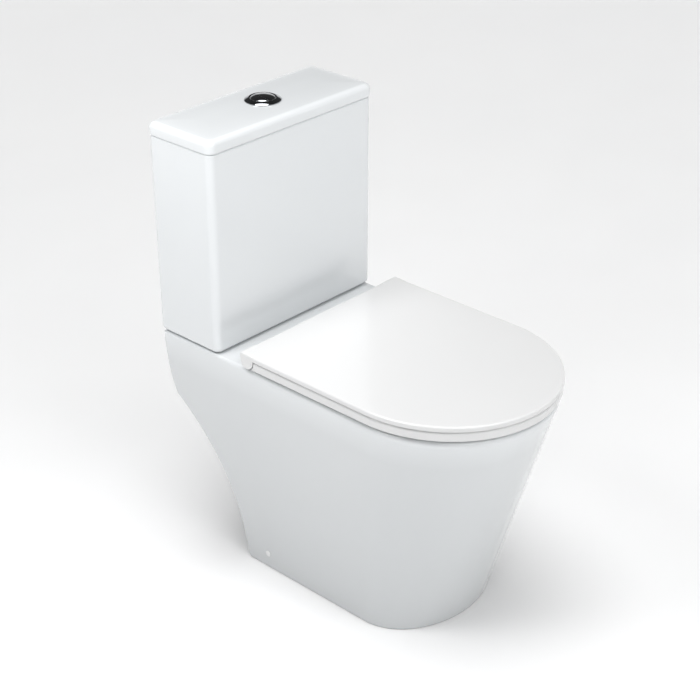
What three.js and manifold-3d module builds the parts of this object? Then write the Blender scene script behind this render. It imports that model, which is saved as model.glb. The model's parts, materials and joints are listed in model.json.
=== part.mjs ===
// Close coupled toilet: a ceramic pan and cistern, a hinged seat, and the flush and fill valves.
// Millimetres, +Z up. The origin is on the floor, midway across the width and midway from front to back.
// The front faces -Y and the wall is at +Y.

import * as THREE from "three";
import { mergeVertices } from "three/addons/utils/BufferGeometryUtils.js";
import Module from "manifold-3d";

const wasm = await Module();
wasm.setup();

// ---------- driving dimensions ----------

const DEPTH = 652; // wall to the front of the seat
const SEAT_WIDTH = 371;
const PAN_HEIGHT = 415;
const CISTERN_HEIGHT = 345; // body, without its lid
const CISTERN_WIDTH = SEAT_WIDTH - 5;
const CISTERN_DEPTH = 140;
const LID_HEIGHT = 24.7; // cistern lid, from its seat to its top

const GAP = 0.3; // between faces that touch
const RUN = 0.5; // between faces that slide or turn

// ---------- places that follow from them ----------

const Y_BACK = DEPTH / 2;
const Y_FRONT = -DEPTH / 2;
const CISTERN_Y = Y_BACK - CISTERN_DEPTH / 2;
const COUPLING_GAP = 2; // between the pan's shelf and the cistern
const CISTERN_Z = PAN_HEIGHT + COUPLING_GAP;
const CISTERN_TOP = CISTERN_Z + CISTERN_HEIGHT;
const LID_Z = CISTERN_TOP + GAP;
const LID_TOP = LID_Z + LID_HEIGHT;

// ---------- materials ----------

const finish = (color, roughness, metalness = 0) =>
  new THREE.MeshStandardMaterial({ color, roughness, metalness });

const CERAMIC = finish(0xf1f3f3, 0.12);
const SEAT_PLASTIC = finish(0xf3f4f4, 0.22);
const CHROME = finish(0xd8dadc, 0.06, 1);
const STEEL = finish(0xb9bcbf, 0.3, 1);
const WHITE_PLASTIC = finish(0xe6e8e8, 0.45);
const BLUE_PLASTIC = finish(0x2f6fb0, 0.45);
const GREY_PLASTIC = finish(0x8d9399, 0.5);
const RUBBER = finish(0x26282a, 0.75);
const SEAL = finish(0xc9474a, 0.6);
const BRASS = finish(0xb8924a, 0.35, 1);

// ---------- solids ----------

/** A closed three.js geometry as a solid that can be cut and joined. */
function solid(geometry) {
  const plain = geometry.clone();
  plain.deleteAttribute("normal");
  plain.deleteAttribute("uv");
  const merged = mergeVertices(plain, 1e-4);
  return new wasm.Manifold(
    new wasm.Mesh({
      numProp: 3,
      vertProperties: new Float32Array(merged.attributes.position.array),
      triVerts: new Uint32Array(merged.index.array),
    }),
  );
}

/** A solid as a named mesh. */
function piece(name, material, made) {
  const { vertProperties, triVerts } = made.getMesh();
  const geometry = new THREE.BufferGeometry();
  geometry.setAttribute("position", new THREE.BufferAttribute(vertProperties, 3));
  geometry.setIndex(new THREE.BufferAttribute(triVerts, 1));
  geometry.computeVertexNormals();
  const mesh = new THREE.Mesh(geometry, material);
  mesh.name = name;
  return mesh;
}

const joined = (solids) => solids.reduce((whole, next) => whole.add(next));
const cut = (whole, ...tools) => tools.reduce((left, tool) => left.subtract(tool), whole);

/** A box between two corners. */
function box([x0, y0, z0], [x1, y1, z1]) {
  const geometry = new THREE.BoxGeometry(x1 - x0, y1 - y0, z1 - z0);
  geometry.translate((x0 + x1) / 2, (y0 + y1) / 2, (z0 + z1) / 2);
  return solid(geometry);
}

/** An upright rod or cone frustum from z0 to z1. */
function upright(x, y, z0, z1, radius, segments = 20, topRadius = radius) {
  const geometry = new THREE.CylinderGeometry(topRadius, radius, z1 - z0, segments);
  geometry.rotateX(Math.PI / 2);
  geometry.translate(x, y, (z0 + z1) / 2);
  return solid(geometry);
}

/** A rod along X from x0 to x1. */
function crossRod(x0, x1, y, z, radius, segments = 20) {
  const geometry = new THREE.CylinderGeometry(radius, radius, Math.abs(x1 - x0), segments);
  geometry.rotateZ(Math.PI / 2);
  geometry.translate((x0 + x1) / 2, y, z);
  return solid(geometry);
}

/** A rod along Y from y0 to y1. */
function depthRod(x, y0, y1, z, radius, segments = 24) {
  const geometry = new THREE.CylinderGeometry(radius, radius, y1 - y0, segments);
  geometry.translate(x, (y0 + y1) / 2, z);
  return solid(geometry);
}

/** A ring or tube, upright; its bore's flats stay outside the inner radius. */
function tube(x, y, z0, z1, outer, inner, segments = 20, boreSegments = Math.max(segments, 16)) {
  const clear = inner / Math.cos(Math.PI / boreSegments);
  return upright(x, y, z0, z1, outer, segments).subtract(
    upright(x, y, z0 - 1, z1 + 1, clear, boreSegments),
  );
}

/** A shape turned about an upright axis; the profile is [radius, height] pairs, from the axis to the axis. */
function turned(x, y, profile, segments = 28) {
  const geometry = new THREE.LatheGeometry(
    profile.map(([radius, height]) => new THREE.Vector2(radius, height)),
    segments,
  );
  geometry.rotateX(Math.PI / 2);
  geometry.translate(x, y, 0);
  return solid(geometry);
}

/** Points along an elliptical arc, both ends included. */
function arc(cx, cy, rx, ry, from, to, steps) {
  const curve = new THREE.EllipseCurve(cx, cy, rx, ry, from, to, to < from);
  return curve.getPoints(steps);
}

/** A profile in Y and Z, extruded along X from x0 to x1. */
function sideProfile(points, x0, x1) {
  const shape = new THREE.Shape(points.map(([y, z]) => new THREE.Vector2(y, z)));
  const geometry = new THREE.ExtrudeGeometry(shape, { depth: x1 - x0, bevelEnabled: false });
  // shape x, y and depth become Y, Z and X
  geometry.applyMatrix4(new THREE.Matrix4().set(0, 0, 1, x0, 1, 0, 0, 0, 0, 1, 0, 0, 0, 0, 0, 1));
  return solid(geometry);
}

/**
 * A stack of outlines: the outline is extruded one step per level, and each level's place() then says
 * where a point of the outline goes at that height.
 */
function stack(outline, levels) {
  const steps = levels.length - 1;
  const geometry = new THREE.ExtrudeGeometry(new THREE.Shape(outline), {
    depth: steps,
    steps,
    bevelEnabled: false,
  });
  const at = geometry.attributes.position;
  for (let i = 0; i < at.count; i++) {
    const level = levels[Math.round(at.getZ(i))];
    const [x, y] = level.place(at.getX(i), at.getY(i));
    at.setXYZ(i, x, y, level.z);
  }
  return solid(geometry);
}

// ---------- outlines ----------

const NOSE_STEPS = 30;
const CORNER_STEPS = 3;

/** A D in plan: round towards the front, square with rounded corners at the back. */
function dOutline(halfWidth, back, nosePoint, nose, corner, noseSteps = NOSE_STEPS) {
  return [
    ...arc(0, nosePoint, halfWidth, nose, Math.PI, 2 * Math.PI, noseSteps),
    ...arc(halfWidth - corner, back - corner, corner, corner, 0, Math.PI / 2, CORNER_STEPS),
    ...arc(corner - halfWidth, back - corner, corner, corner, Math.PI / 2, Math.PI, CORNER_STEPS),
  ];
}

/** A rectangle in plan with rounded corners, centred on a point. */
function roundedRectangle(width, depth, corner, steps = 5) {
  const x = width / 2 - corner;
  const y = depth / 2 - corner;
  return [
    [x, y, 0],
    [-x, y, 1],
    [-x, -y, 2],
    [x, -y, 3],
  ].flatMap(([cx, cy, quarter]) =>
    arc(cx, cy, corner, corner, (quarter * Math.PI) / 2, ((quarter + 1) * Math.PI) / 2, steps),
  );
}

/** [height, inset] pairs down a quarter-round edge of that radius, from its side to its top. */
const roundedEdge = (top, radius, steps = 4) =>
  Array.from({ length: steps + 1 }, (_, i) => {
    const angle = (i / steps) * (Math.PI / 2);
    return [top - radius + radius * Math.sin(angle), radius * (1 - Math.cos(angle))];
  });

// ---------- pan ----------

const RIM_INSET = 3; // the pan's edge inside the seat's
const SEAT_NOSE = 194; // length of the rounded front of the seat
const NOSE_Y = Y_FRONT + SEAT_NOSE; // where the straight sides end

const RIM_HALF_WIDTH = SEAT_WIDTH / 2 - RIM_INSET;
const RIM_NOSE = SEAT_NOSE - RIM_INSET;
const FOOT_HALF_WIDTH = 138;
const FOOT_SETBACK = 130; // foot behind the front of the rim
const FOOT_NOSE = 104;
const FOOT_NOSE_Y = Y_FRONT + FOOT_SETBACK + FOOT_NOSE;

const PAN_WALL = 13;
const BOWL_WALL = 13;
const SHELF_THICKNESS = 22;
const SHELF_UNDER = PAN_HEIGHT - SHELF_THICKNESS;
const RIM_ROUND = 13;
const SHELF_ROUND = 5; // under the cistern
const PAN_BACK_CORNER = 6;

const TAIL_REACH = 139; // the foot's back edge in front of the wall
const TAIL_HOLLOW = 355; // the pan's hollow back is a quarter of an ellipse: this deep
const TAIL_RISE = PAN_HEIGHT - 60; // and this high
const HEEL_DROP = 88; // upright part of the pan's back
const HEEL_ROUND_STEPS = 4;

/** Share of the way from the foot, 0, to the rim, 1. */
const rise = (z) => z / PAN_HEIGHT;
const between = (from, to, share) => from + (to - from) * share;

/** Puts a point of the rim's outline where the pan's wall is at height z, moved in by inset. */
function panWall(z, inset) {
  const halfWidth = between(FOOT_HALF_WIDTH, RIM_HALF_WIDTH, rise(z));
  const nosePoint = between(FOOT_NOSE_Y, NOSE_Y, rise(z));
  const nose = between(FOOT_NOSE, RIM_NOSE, rise(z));
  return (x, y) => {
    const in_ = typeof inset === "function" ? inset(y) : inset;
    const across = (x * (halfWidth - in_)) / RIM_HALF_WIDTH;
    if (y >= NOSE_Y) {
      const along = (y - NOSE_Y) / (Y_BACK - NOSE_Y);
      return [across, nosePoint + along * (Y_BACK - nosePoint)];
    }
    return [across, nosePoint - ((NOSE_Y - y) * (nose - in_)) / RIM_NOSE];
  };
}

const rimOutline = (noseSteps) =>
  dOutline(RIM_HALF_WIDTH, Y_BACK, NOSE_Y, RIM_NOSE, PAN_BACK_CORNER, noseSteps);

/** The edge's rounding grows from the cistern's shelf towards the seat. */
function edgeRound(y) {
  const shelfFront = Y_BACK - CISTERN_DEPTH;
  const share = THREE.MathUtils.clamp((shelfFront - y) / 90, 0, 1);
  return between(SHELF_ROUND, RIM_ROUND, share) / RIM_ROUND;
}

function panOutside() {
  const levels = [
    { z: 0, place: panWall(0, 2) },
    ...[4, 140, 280].map((z) => ({ z, place: panWall(z, 0) })),
    ...roundedEdge(PAN_HEIGHT, RIM_ROUND, 4).map(([z, inset]) => ({
      z,
      place: panWall(z, (y) => inset * edgeRound(y)),
    })),
  ];
  return stack(rimOutline(), levels);
}

/** Everything behind the pan's hollow back. */
function behindPan() {
  const heelZ = PAN_HEIGHT - HEEL_DROP;
  const footY = Y_BACK - TAIL_REACH;
  const curveY = (z) => footY + TAIL_HOLLOW * (1 - Math.sqrt(1 - ((z - 20) / TAIL_RISE) ** 2));
  const heelStart = 34; // height over which the back's two lines are rounded together
  const below = heelZ - heelStart;
  const bend = new THREE.QuadraticBezierCurve(
    new THREE.Vector2(curveY(below), below),
    new THREE.Vector2(Y_BACK, heelZ - 4),
    new THREE.Vector2(Y_BACK + 1, heelZ + heelStart),
  );
  const points = [
    [footY - 8, -1],
    [footY - 1.5, 6],
    ...[0.07, 0.24, 0.41, 0.56, 0.71, 0.86].map((share) => [curveY(share * below), share * below]),
    ...bend.getPoints(HEEL_ROUND_STEPS).map((p) => [p.x, p.y]),
    [Y_BACK + 60, heelZ + heelStart],
    [Y_BACK + 60, -1],
  ];
  return sideProfile(points, -SEAT_WIDTH, SEAT_WIDTH);
}

/** The room inside the skirt, open to the floor and to the wall. */
function skirtRoom() {
  const levels = [-1, 130, 260, SHELF_UNDER].map((z) => ({
    z,
    place: (x, y) => {
      const [px, py] = panWall(Math.max(z, 0), PAN_WALL)(x, y);
      return [px, y > Y_BACK - 20 ? py + 30 : py];
    },
  }));
  return stack(rimOutline(20), levels);
}

// Bowl and trap
const BOWL_RIM_HALF_WIDTH = SEAT_WIDTH / 2 - 51.5;
const BOWL_RIM_FRONT = 40; // rim width at the front
const BOWL_Y = Y_BACK - 306; // middle of the sump
const BOWL_BACK = 52; // from there to the bowl's back wall at the rim
const SUMP_HALF_WIDTH = 45;
const SUMP_FRONT = 55;
const SUMP_BACK = 38;
const SUMP_Z = 95;
const THROAT_Z = 175;

/** The bowl's inside, or its outside if grown by its wall. */
function bowl(grow, segments) {
  const rimFront = BOWL_Y - (Y_FRONT + RIM_INSET + BOWL_RIM_FRONT);
  const circle = arc(0, 0, 1, 1, 0, 2 * Math.PI, segments).slice(0, -1);
  const place = (halfWidth, front, back) => (x, y) => [
    x * (halfWidth + grow),
    BOWL_Y + y * ((y < 0 ? front : back) + grow),
  ];
  const sump = [0.1, 0.45, 0.8].map((depth) => {
    const share = Math.sqrt(1 - (1 - depth) ** 2);
    return {
      z: SUMP_Z - grow + depth * (THROAT_Z - SUMP_Z),
      place: place(SUMP_HALF_WIDTH * share, SUMP_FRONT * share, SUMP_BACK * share),
    };
  });
  const wall = [0, 0.12, 0.28, 0.48, 0.72, 1].map((share) => {
    const spread = Math.sin((share * Math.PI) / 2);
    return {
      z: between(THROAT_Z, PAN_HEIGHT + 1, share),
      place: place(
        between(SUMP_HALF_WIDTH, BOWL_RIM_HALF_WIDTH, spread),
        between(SUMP_FRONT, rimFront, spread),
        between(SUMP_BACK, BOWL_BACK, spread),
      ),
    };
  });
  return stack(circle, [...sump, ...wall]);
}

const TRAP_BORE = 27; // radius
const TRAP_WALL = 10;
const TRAP_TURN = 43; // radius of its bends, along the middle
const WEIR_Z = 238; // middle of the passage at its highest
const CLIMB = THREE.MathUtils.degToRad(65);
const FALL = THREE.MathUtils.degToRad(50);
const OUTLET_Z = 185;
const OUTLET_RADIUS = 51; // the 102 mm spigot that a pan connector slides over
const OUTLET_BORE = 42;
const OUTLET_START_Y = Y_BACK - 124;
const OUTLET_END_Y = Y_BACK - 64;

/** Points in Y and Z along straights and bends; each move is [length, turn], and a turn above 0 is upwards. */
function pipeRun([y, z], moves) {
  const points = [[y, z]];
  let heading = 0;
  for (const [length, turn] of moves) {
    const steps = turn ? 5 : Math.max(1, Math.round(length / 25));
    for (let i = 0; i < steps; i++) {
      const chord = turn ? 2 * TRAP_TURN * Math.sin(Math.abs(turn) / steps / 2) : length / steps;
      heading += turn / steps / 2;
      y += chord * Math.cos(heading);
      z += chord * Math.sin(heading);
      heading += turn / steps / 2;
      points.push([y, z]);
    }
  }
  return points.map(([py, pz]) => new THREE.Vector3(0, py, pz));
}

/** The trapway from the sump, over the weir and down to the outlet, as a round tube of that radius. */
function trap(radius) {
  const startZ = SUMP_Z + TRAP_BORE + 2;
  const bendRise = (angle) => TRAP_TURN * (1 - Math.cos(angle));
  const climb = (WEIR_Z - startZ - 2 * bendRise(CLIMB)) / Math.sin(CLIMB);
  const fall = (WEIR_Z - OUTLET_Z - 2 * bendRise(FALL)) / Math.sin(FALL);
  const points = pipeRun([BOWL_Y, startZ], [
    [30, 0],
    [0, CLIMB],
    [climb, 0],
    [0, -CLIMB - FALL],
    [fall, 0],
    [0, FALL],
  ]);
  const section = new THREE.Shape(arc(0, 0, radius, radius, 0, 2 * Math.PI, 16).slice(0, -1));
  const path = new THREE.CatmullRomCurve3(points);
  return solid(new THREE.ExtrudeGeometry(section, { steps: 18, extrudePath: path }));
}

// Water way from the cistern to the bowl
const INLET_RECESS = 48; // radius of the seat of the coupling gasket
const INLET_RECESS_DEPTH = 27;
const INLET_BORE = 33;
const DUCT_HALF_WIDTH = 33;
const DUCT_HEIGHT = 28;
const DUCT_TOP = PAN_HEIGHT - INLET_RECESS_DEPTH - 6;
const DUCT_WALL = 11;

// Holes
const COUPLING_X = 74; // bolts between cistern and pan
const COUPLING_HOLE = 6.5;
const HINGE_X = 77.5; // seat fixings, at the usual 155 mm centres
const HINGE_HOLE = 6.5;
const FILL_X = CISTERN_WIDTH / 2 - 46;
const FILL_OPENING = 24;
const SIDE_SCREW_Z = 32;
const SIDE_SCREW_Y = Y_BACK - 195;
const SIDE_HOLE = 5.5;

// Seat hinge line, which the pan's fixing holes follow
const SEAT_BACK_GAP = 52; // between the cistern's front and the seat
const SEAT_BACK_Y = Y_BACK - CISTERN_DEPTH - SEAT_BACK_GAP;
const HINGE_DEPTH = 14; // from the seat's back edge to its hinge line
const AXIS_Y = SEAT_BACK_Y - HINGE_DEPTH;
const HINGE_BASE_Y = AXIS_Y - 10;

function pan() {
  const bowlOutside = bowl(BOWL_WALL, 24).subtract(
    box([-SEAT_WIDTH, -DEPTH, SHELF_UNDER + 4], [SEAT_WIDTH, DEPTH, PAN_HEIGHT + 60]),
  );
  const outlet = depthRod(0, OUTLET_START_Y, OUTLET_END_Y, OUTLET_Z, OUTLET_RADIUS, 28);
  const duct = box(
    [-DUCT_HALF_WIDTH - DUCT_WALL, BOWL_Y + BOWL_BACK, DUCT_TOP - DUCT_HEIGHT - DUCT_WALL],
    [DUCT_HALF_WIDTH + DUCT_WALL, CISTERN_Y, SHELF_UNDER + 4],
  );
  const inletBoss = upright(
    0,
    CISTERN_Y,
    DUCT_TOP - DUCT_HEIGHT - DUCT_WALL,
    SHELF_UNDER + 4,
    INLET_RECESS + DUCT_WALL - 2,
    24,
  );
  const room = cut(skirtRoom(), bowlOutside, trap(TRAP_BORE + TRAP_WALL), outlet, duct, inletBoss);
  const ductBore = box(
    [-DUCT_HALF_WIDTH, BOWL_Y + BOWL_BACK - 12, DUCT_TOP - DUCT_HEIGHT],
    [DUCT_HALF_WIDTH, CISTERN_Y + INLET_BORE, DUCT_TOP],
  );
  const holes = [
    bowl(0, 36),
    trap(TRAP_BORE),
    depthRod(0, OUTLET_START_Y + 10, OUTLET_END_Y + 5, OUTLET_Z, OUTLET_BORE, 24),
    ductBore,
    upright(0, CISTERN_Y, PAN_HEIGHT - INLET_RECESS_DEPTH, PAN_HEIGHT + 5, INLET_RECESS, 24),
    upright(0, CISTERN_Y, DUCT_TOP - DUCT_HEIGHT / 2, PAN_HEIGHT, INLET_BORE, 24),
    upright(FILL_X, CISTERN_Y, SHELF_UNDER - 5, PAN_HEIGHT + 5, FILL_OPENING, 20),
    crossRod(-SEAT_WIDTH, SEAT_WIDTH, SIDE_SCREW_Y, SIDE_SCREW_Z, SIDE_HOLE, 12),
  ];
  for (const side of [-1, 1]) {
    holes.push(
      upright(side * COUPLING_X, CISTERN_Y, SHELF_UNDER - 5, PAN_HEIGHT + 5, COUPLING_HOLE, 12),
      upright(side * HINGE_X, HINGE_BASE_Y, SHELF_UNDER - 5, PAN_HEIGHT + 5, HINGE_HOLE, 12),
    );
  }
  const shell = cut(panOutside(), behindPan(), room).add(outlet);
  return piece("pan", CERAMIC, cut(shell, ...holes));
}

// ---------- floor fixings ----------

const SKIRT_AT_SCREW = between(FOOT_HALF_WIDTH, RIM_HALF_WIDTH, rise(SIDE_SCREW_Z));
const BRACKET_WIDTH = 34;
const BRACKET_PLATE = 5;
const SCREW_LENGTH = 30;

function floorFixing(side, word) {
  const face = FOOT_HALF_WIDTH - PAN_WALL - GAP; // inside of the skirt at the floor
  const foot = 26;
  const half = BRACKET_WIDTH / 2;
  const plates = joined([
    sideways(side, face - foot, face, [-half, half], [GAP, BRACKET_PLATE]),
    sideways(side, face - 14, face, [-half / 2, half / 2], [BRACKET_PLATE - 1, SIDE_SCREW_Z + 12]),
  ]);
  const bracket = cut(
    plates,
    crossRod(-SEAT_WIDTH, SEAT_WIDTH, SIDE_SCREW_Y, SIDE_SCREW_Z, 3.2, 12),
    upright(side * (face - 20), SIDE_SCREW_Y + 11, -1, BRACKET_PLATE + 1, 3.2, 12),
  );
  const head = SKIRT_AT_SCREW - 3;
  const screw = crossRod(
    side * (head - SCREW_LENGTH),
    side * (head - 3),
    SIDE_SCREW_Y,
    SIDE_SCREW_Z,
    2.6,
    10,
  ).add(crossRod(side * (head - 4), side * head, SIDE_SCREW_Y, SIDE_SCREW_Z, SIDE_HOLE - 0.7, 12));
  const cap = crossRod(
    side * (head + GAP),
    side * (SKIRT_AT_SCREW + 1.2),
    SIDE_SCREW_Y,
    SIDE_SCREW_Z,
    SIDE_HOLE - GAP,
    12,
  );
  return [
    piece(`floor_bracket_${word}`, WHITE_PLASTIC, bracket),
    piece(`side_screw_${word}`, STEEL, screw),
    piece(`side_screw_cap_${word}`, SEAT_PLASTIC, cap),
  ];
}

/** A box on one side of the middle, from x0 to x1 away from it, around the side screw's Y. */
function sideways(side, x0, x1, [y0, y1], [z0, z1]) {
  const [low, high] = side < 0 ? [-x1, -x0] : [x0, x1];
  return box([low, SIDE_SCREW_Y + y0, z0], [high, SIDE_SCREW_Y + y1, z1]);
}

// ---------- cistern ----------

const CISTERN_WALL = 11;
const CISTERN_FLOOR = 14;
const CISTERN_FLARE = 3; // the front leans out this much from bottom to top
const CISTERN_CORNER = 10;
const CISTERN_FLOOR_Z = CISTERN_Z + CISTERN_FLOOR;
const FLUSH_HOLE = 31.5;
const FILL_HOLE = 11;
const FOOT_ROUND = 9;

/** Puts a point of the cistern's outline where its wall is, moved in by inset, leaning out with height. */
function cisternWall(inset, share) {
  const lean = CISTERN_FLARE * (share - 1);
  return (x, y) => {
    const across = x * (1 - (2 * inset) / CISTERN_WIDTH);
    const along = y * (1 - (2 * inset) / CISTERN_DEPTH);
    return [across, CISTERN_Y + along - (y < 0 ? lean : 0)];
  };
}

function cistern() {
  const outline = roundedRectangle(CISTERN_WIDTH, CISTERN_DEPTH, CISTERN_CORNER);
  const footEdge = roundedEdge(0, FOOT_ROUND, 3).reverse();
  const outside = stack(outline, [
    ...footEdge.map(([z, inset]) => ({ z: CISTERN_Z - z, place: cisternWall(inset, 0) })),
    { z: CISTERN_TOP - 3, place: cisternWall(0, 1) },
    { z: CISTERN_TOP, place: cisternWall(2.2, 1) },
  ]);
  const inside = stack(roundedRectangle(CISTERN_WIDTH, CISTERN_DEPTH, CISTERN_CORNER, 3), [
    { z: CISTERN_FLOOR_Z, place: cisternWall(CISTERN_WALL + 3, 0) },
    { z: CISTERN_FLOOR_Z + 12, place: cisternWall(CISTERN_WALL, 0) },
    { z: CISTERN_TOP + 1, place: cisternWall(CISTERN_WALL, 1) },
  ]);
  const hole = (x, radius) => upright(x, CISTERN_Y, CISTERN_Z - 1, CISTERN_FLOOR_Z + 1, radius, 20);
  const holes = [
    hole(0, FLUSH_HOLE),
    hole(FILL_X, FILL_HOLE),
    hole(-COUPLING_X, COUPLING_HOLE),
    hole(COUPLING_X, COUPLING_HOLE),
  ];
  return piece("cistern", CERAMIC, cut(outside, inside, ...holes));
}

const LID_OVERHANG = 2;
const LID_EDGE_ROUND = 10;
const LID_WALL = 9;
const LID_CROWN = 12; // thickness of the lid's top
const LIP_DEPTH = 7;
const LIP_CLEARANCE = 3;
const BUTTON_HOLE = 24;

function cisternLid() {
  const width = CISTERN_WIDTH + 2 * LID_OVERHANG;
  const front = Y_BACK - CISTERN_DEPTH - LID_OVERHANG;
  const depth = Y_BACK - front;
  const middle = (Y_BACK + front) / 2;
  const at = (inset) => (x, y) => [
    x * (1 - (2 * inset) / width),
    middle + y * (1 - (2 * inset) / depth),
  ];
  const outline = roundedRectangle(width, depth, CISTERN_CORNER + LID_OVERHANG);
  const outside = stack(outline, [
    { z: LID_Z, place: at(2.4) },
    { z: LID_Z + 3, place: at(0) },
    ...roundedEdge(LID_TOP - 1.2, LID_EDGE_ROUND, 4).map(([z, inset]) => ({ z, place: at(inset) })),
    { z: LID_TOP, place: at(LID_EDGE_ROUND + 16) },
  ]);
  const room = stack(roundedRectangle(width, depth, CISTERN_CORNER, 3), [
    { z: LID_Z - 1, place: at(LID_WALL + LID_OVERHANG) },
    { z: LID_TOP - LID_CROWN, place: at(LID_WALL + LID_OVERHANG + 4) },
  ]);
  const lipOutline = roundedRectangle(CISTERN_WIDTH, CISTERN_DEPTH, CISTERN_CORNER, 3);
  const lip = (inset, z0, z1) =>
    stack(lipOutline, [
      { z: z0, place: cisternWall(inset, 1) },
      { z: z1, place: cisternWall(inset, 1) },
    ]);
  const lipOuter = CISTERN_WALL + LIP_CLEARANCE;
  const lipRing = cut(
    lip(lipOuter, LID_Z - LIP_DEPTH, LID_TOP - LID_CROWN + 1),
    lip(lipOuter + 6, LID_Z - LIP_DEPTH - 1, LID_TOP - LID_CROWN + 2),
  );
  const opening = upright(0, CISTERN_Y, LID_Z, LID_TOP + 1, BUTTON_HOLE, 28);
  return piece("cistern_lid", CERAMIC, cut(outside, room).add(lipRing).subtract(opening));
}

// ---------- bolts that couple cistern and pan ----------

const BOLT_RADIUS = 4;

/** A wing nut on a bolt of that radius, with its top face at z. */
function wingNut(x, y, z, radius, span) {
  const body = upright(x, y, z - 9, z, radius + 4.5, 12, radius + 6);
  const wings = box([x - 1.8, y - span, z - 17], [x + 1.8, y + span, z - 2]);
  return cut(body.add(wings), upright(x, y, z - 30, z + 1, radius + GAP, 12));
}

function coupling(side, word) {
  const x = side * COUPLING_X;
  const rubberTop = CISTERN_FLOOR_Z + 6;
  const head = joined([
    upright(x, CISTERN_Y, rubberTop + GAP, rubberTop + GAP + 5, 8, 6),
    upright(x, CISTERN_Y, SHELF_UNDER - 34, rubberTop + 2, BOLT_RADIUS, 12),
  ]);
  const rubber = cut(
    upright(x, CISTERN_Y, CISTERN_FLOOR_Z + GAP, rubberTop, 12.5, 16, 9),
    upright(x, CISTERN_Y, CISTERN_Z, rubberTop + 1, BOLT_RADIUS + GAP, 12),
  );
  const washerTop = SHELF_UNDER - GAP;
  const washer = tube(x, CISTERN_Y, washerTop - 2.5, washerTop, 13, BOLT_RADIUS + GAP, 16);
  const nut = wingNut(x, CISTERN_Y, washerTop - 2.5 - GAP, BOLT_RADIUS, 17);
  return [
    piece(`coupling_bolt_${word}`, BRASS, head),
    piece(`coupling_rubber_${word}`, RUBBER, rubber),
    piece(`coupling_washer_${word}`, STEEL, washer),
    piece(`coupling_wing_nut_${word}`, WHITE_PLASTIC, nut),
  ];
}

// ---------- flush valve ----------

const TAIL_OD = 30; // radius of the threaded tail
const TAIL_BORE = 26;
const TAIL_LENGTH = 31; // below the cistern
const VALVE_RADIUS = 38;
const CAGE_HEIGHT = 42;
const STEM_RADIUS = 16; // overflow tube
const STEM_BORE = 13.5;
const BRIDGE_DROP = 78; // bridge plate below the cistern's top
const BRIDGE_Z = CISTERN_TOP - BRIDGE_DROP;
const BRIDGE_THICKNESS = 4;
const LEVER_THICKNESS = 5;
const LEVER_Z = BRIDGE_Z + BRIDGE_THICKNESS + 11; // pivot height
const LEVER_Y = 7; // levers on each side of the lift rod
const LEVER_HALF_WIDTH = 2.5;
const PRESS_X = 13; // where a push rod meets its lever
const LIFT_X = 17.5; // length of the lifting arm
const LIFT_ROD = 3;
const TRAVEL = 5; // of a button
const LIFT = (TRAVEL * LIFT_X) / PRESS_X; // of the flush valve and of the half-flush float
const VALVE_SEAT_Z = CISTERN_FLOOR_Z + 8;

function flushBody() {
  const y = CISTERN_Y;
  const flangeZ = CISTERN_FLOOR_Z + 2 + GAP;
  const top = flangeZ + CAGE_HEIGHT;
  const wall = joined([
    upright(0, y, CISTERN_Z - TAIL_LENGTH, flangeZ + 1, TAIL_OD, 28),
    upright(0, y, flangeZ, VALVE_SEAT_Z - 2, VALVE_RADIUS + 3, 28),
    upright(0, y, flangeZ, top, VALVE_RADIUS, 28),
    box([-VALVE_RADIUS, y - 7, top - 4], [-VALVE_RADIUS + 5, y + 7, BRIDGE_Z + 1]),
    box([VALVE_RADIUS - 5, y - 7, top - 4], [VALVE_RADIUS, y + 7, BRIDGE_Z + 1]),
    upright(0, y, BRIDGE_Z, BRIDGE_Z + BRIDGE_THICKNESS, VALVE_RADIUS, 28),
  ]);
  const posts = [-1, 1].map((side) =>
    box(
      [-3, y + side * 12.5 - 1.7, BRIDGE_Z + 2],
      [3, y + side * 12.5 + 1.7, LEVER_Z + 4],
    ),
  );
  const cageBottom = VALVE_SEAT_Z + 4;
  const bore = joined([
    upright(0, y, CISTERN_Z - TAIL_LENGTH - 1, VALVE_SEAT_Z, TAIL_BORE, 28),
    upright(0, y, VALVE_SEAT_Z - 2, top - 5, VALVE_RADIUS - 3, 28),
    upright(0, y, top - 6, top + 1, STEM_RADIUS + RUN + 1, 24),
    box([-60, y - 13, cageBottom], [60, y + 13, top - 8]),
    box([-13, y - 60, cageBottom], [13, y + 60, top - 8]),
  ]);
  const bridgeHoles = joined([
    upright(0, y, BRIDGE_Z - 1, BRIDGE_Z + 9, LIFT_ROD + RUN, 12),
    upright(FLOAT_ROD_X, y + FLOAT_ROD_Y, BRIDGE_Z - 1, BRIDGE_Z + 9, 2 + RUN, 10),
  ]);
  const pivots = crossPinHoles();
  return piece("flush_valve_body", WHITE_PLASTIC, cut(joined([wall, ...posts]), bore, bridgeHoles, pivots));
}

/** Holes for the two lever pins, which run along Y through the posts. */
function crossPinHoles() {
  return depthRod(0, CISTERN_Y - 30, CISTERN_Y - 10.5, LEVER_Z, 1.3 + GAP, 8).add(
    depthRod(0, CISTERN_Y + 10.5, CISTERN_Y + 30, LEVER_Z, 1.3 + GAP, 8),
  );
}

/** A rocker lever with its own pin: side -1 is the full flush in front, 1 the half flush behind. */
function lever(side) {
  const y = CISTERN_Y + side * LEVER_Y;
  const reach = PRESS_X + 3.5;
  const [x0, x1] = side < 0 ? [-LIFT_X, reach] : [-reach, LIFT_X];
  const half = LEVER_THICKNESS / 2;
  const beam = box([x0, y - LEVER_HALF_WIDTH, LEVER_Z - half], [x1, y + LEVER_HALF_WIDTH, LEVER_Z + half]);
  const outer = CISTERN_Y + side * 15;
  const pin = depthRod(0, Math.min(y, outer), Math.max(y, outer), LEVER_Z, 1.3, 8);
  return beam.add(pin);
}

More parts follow.
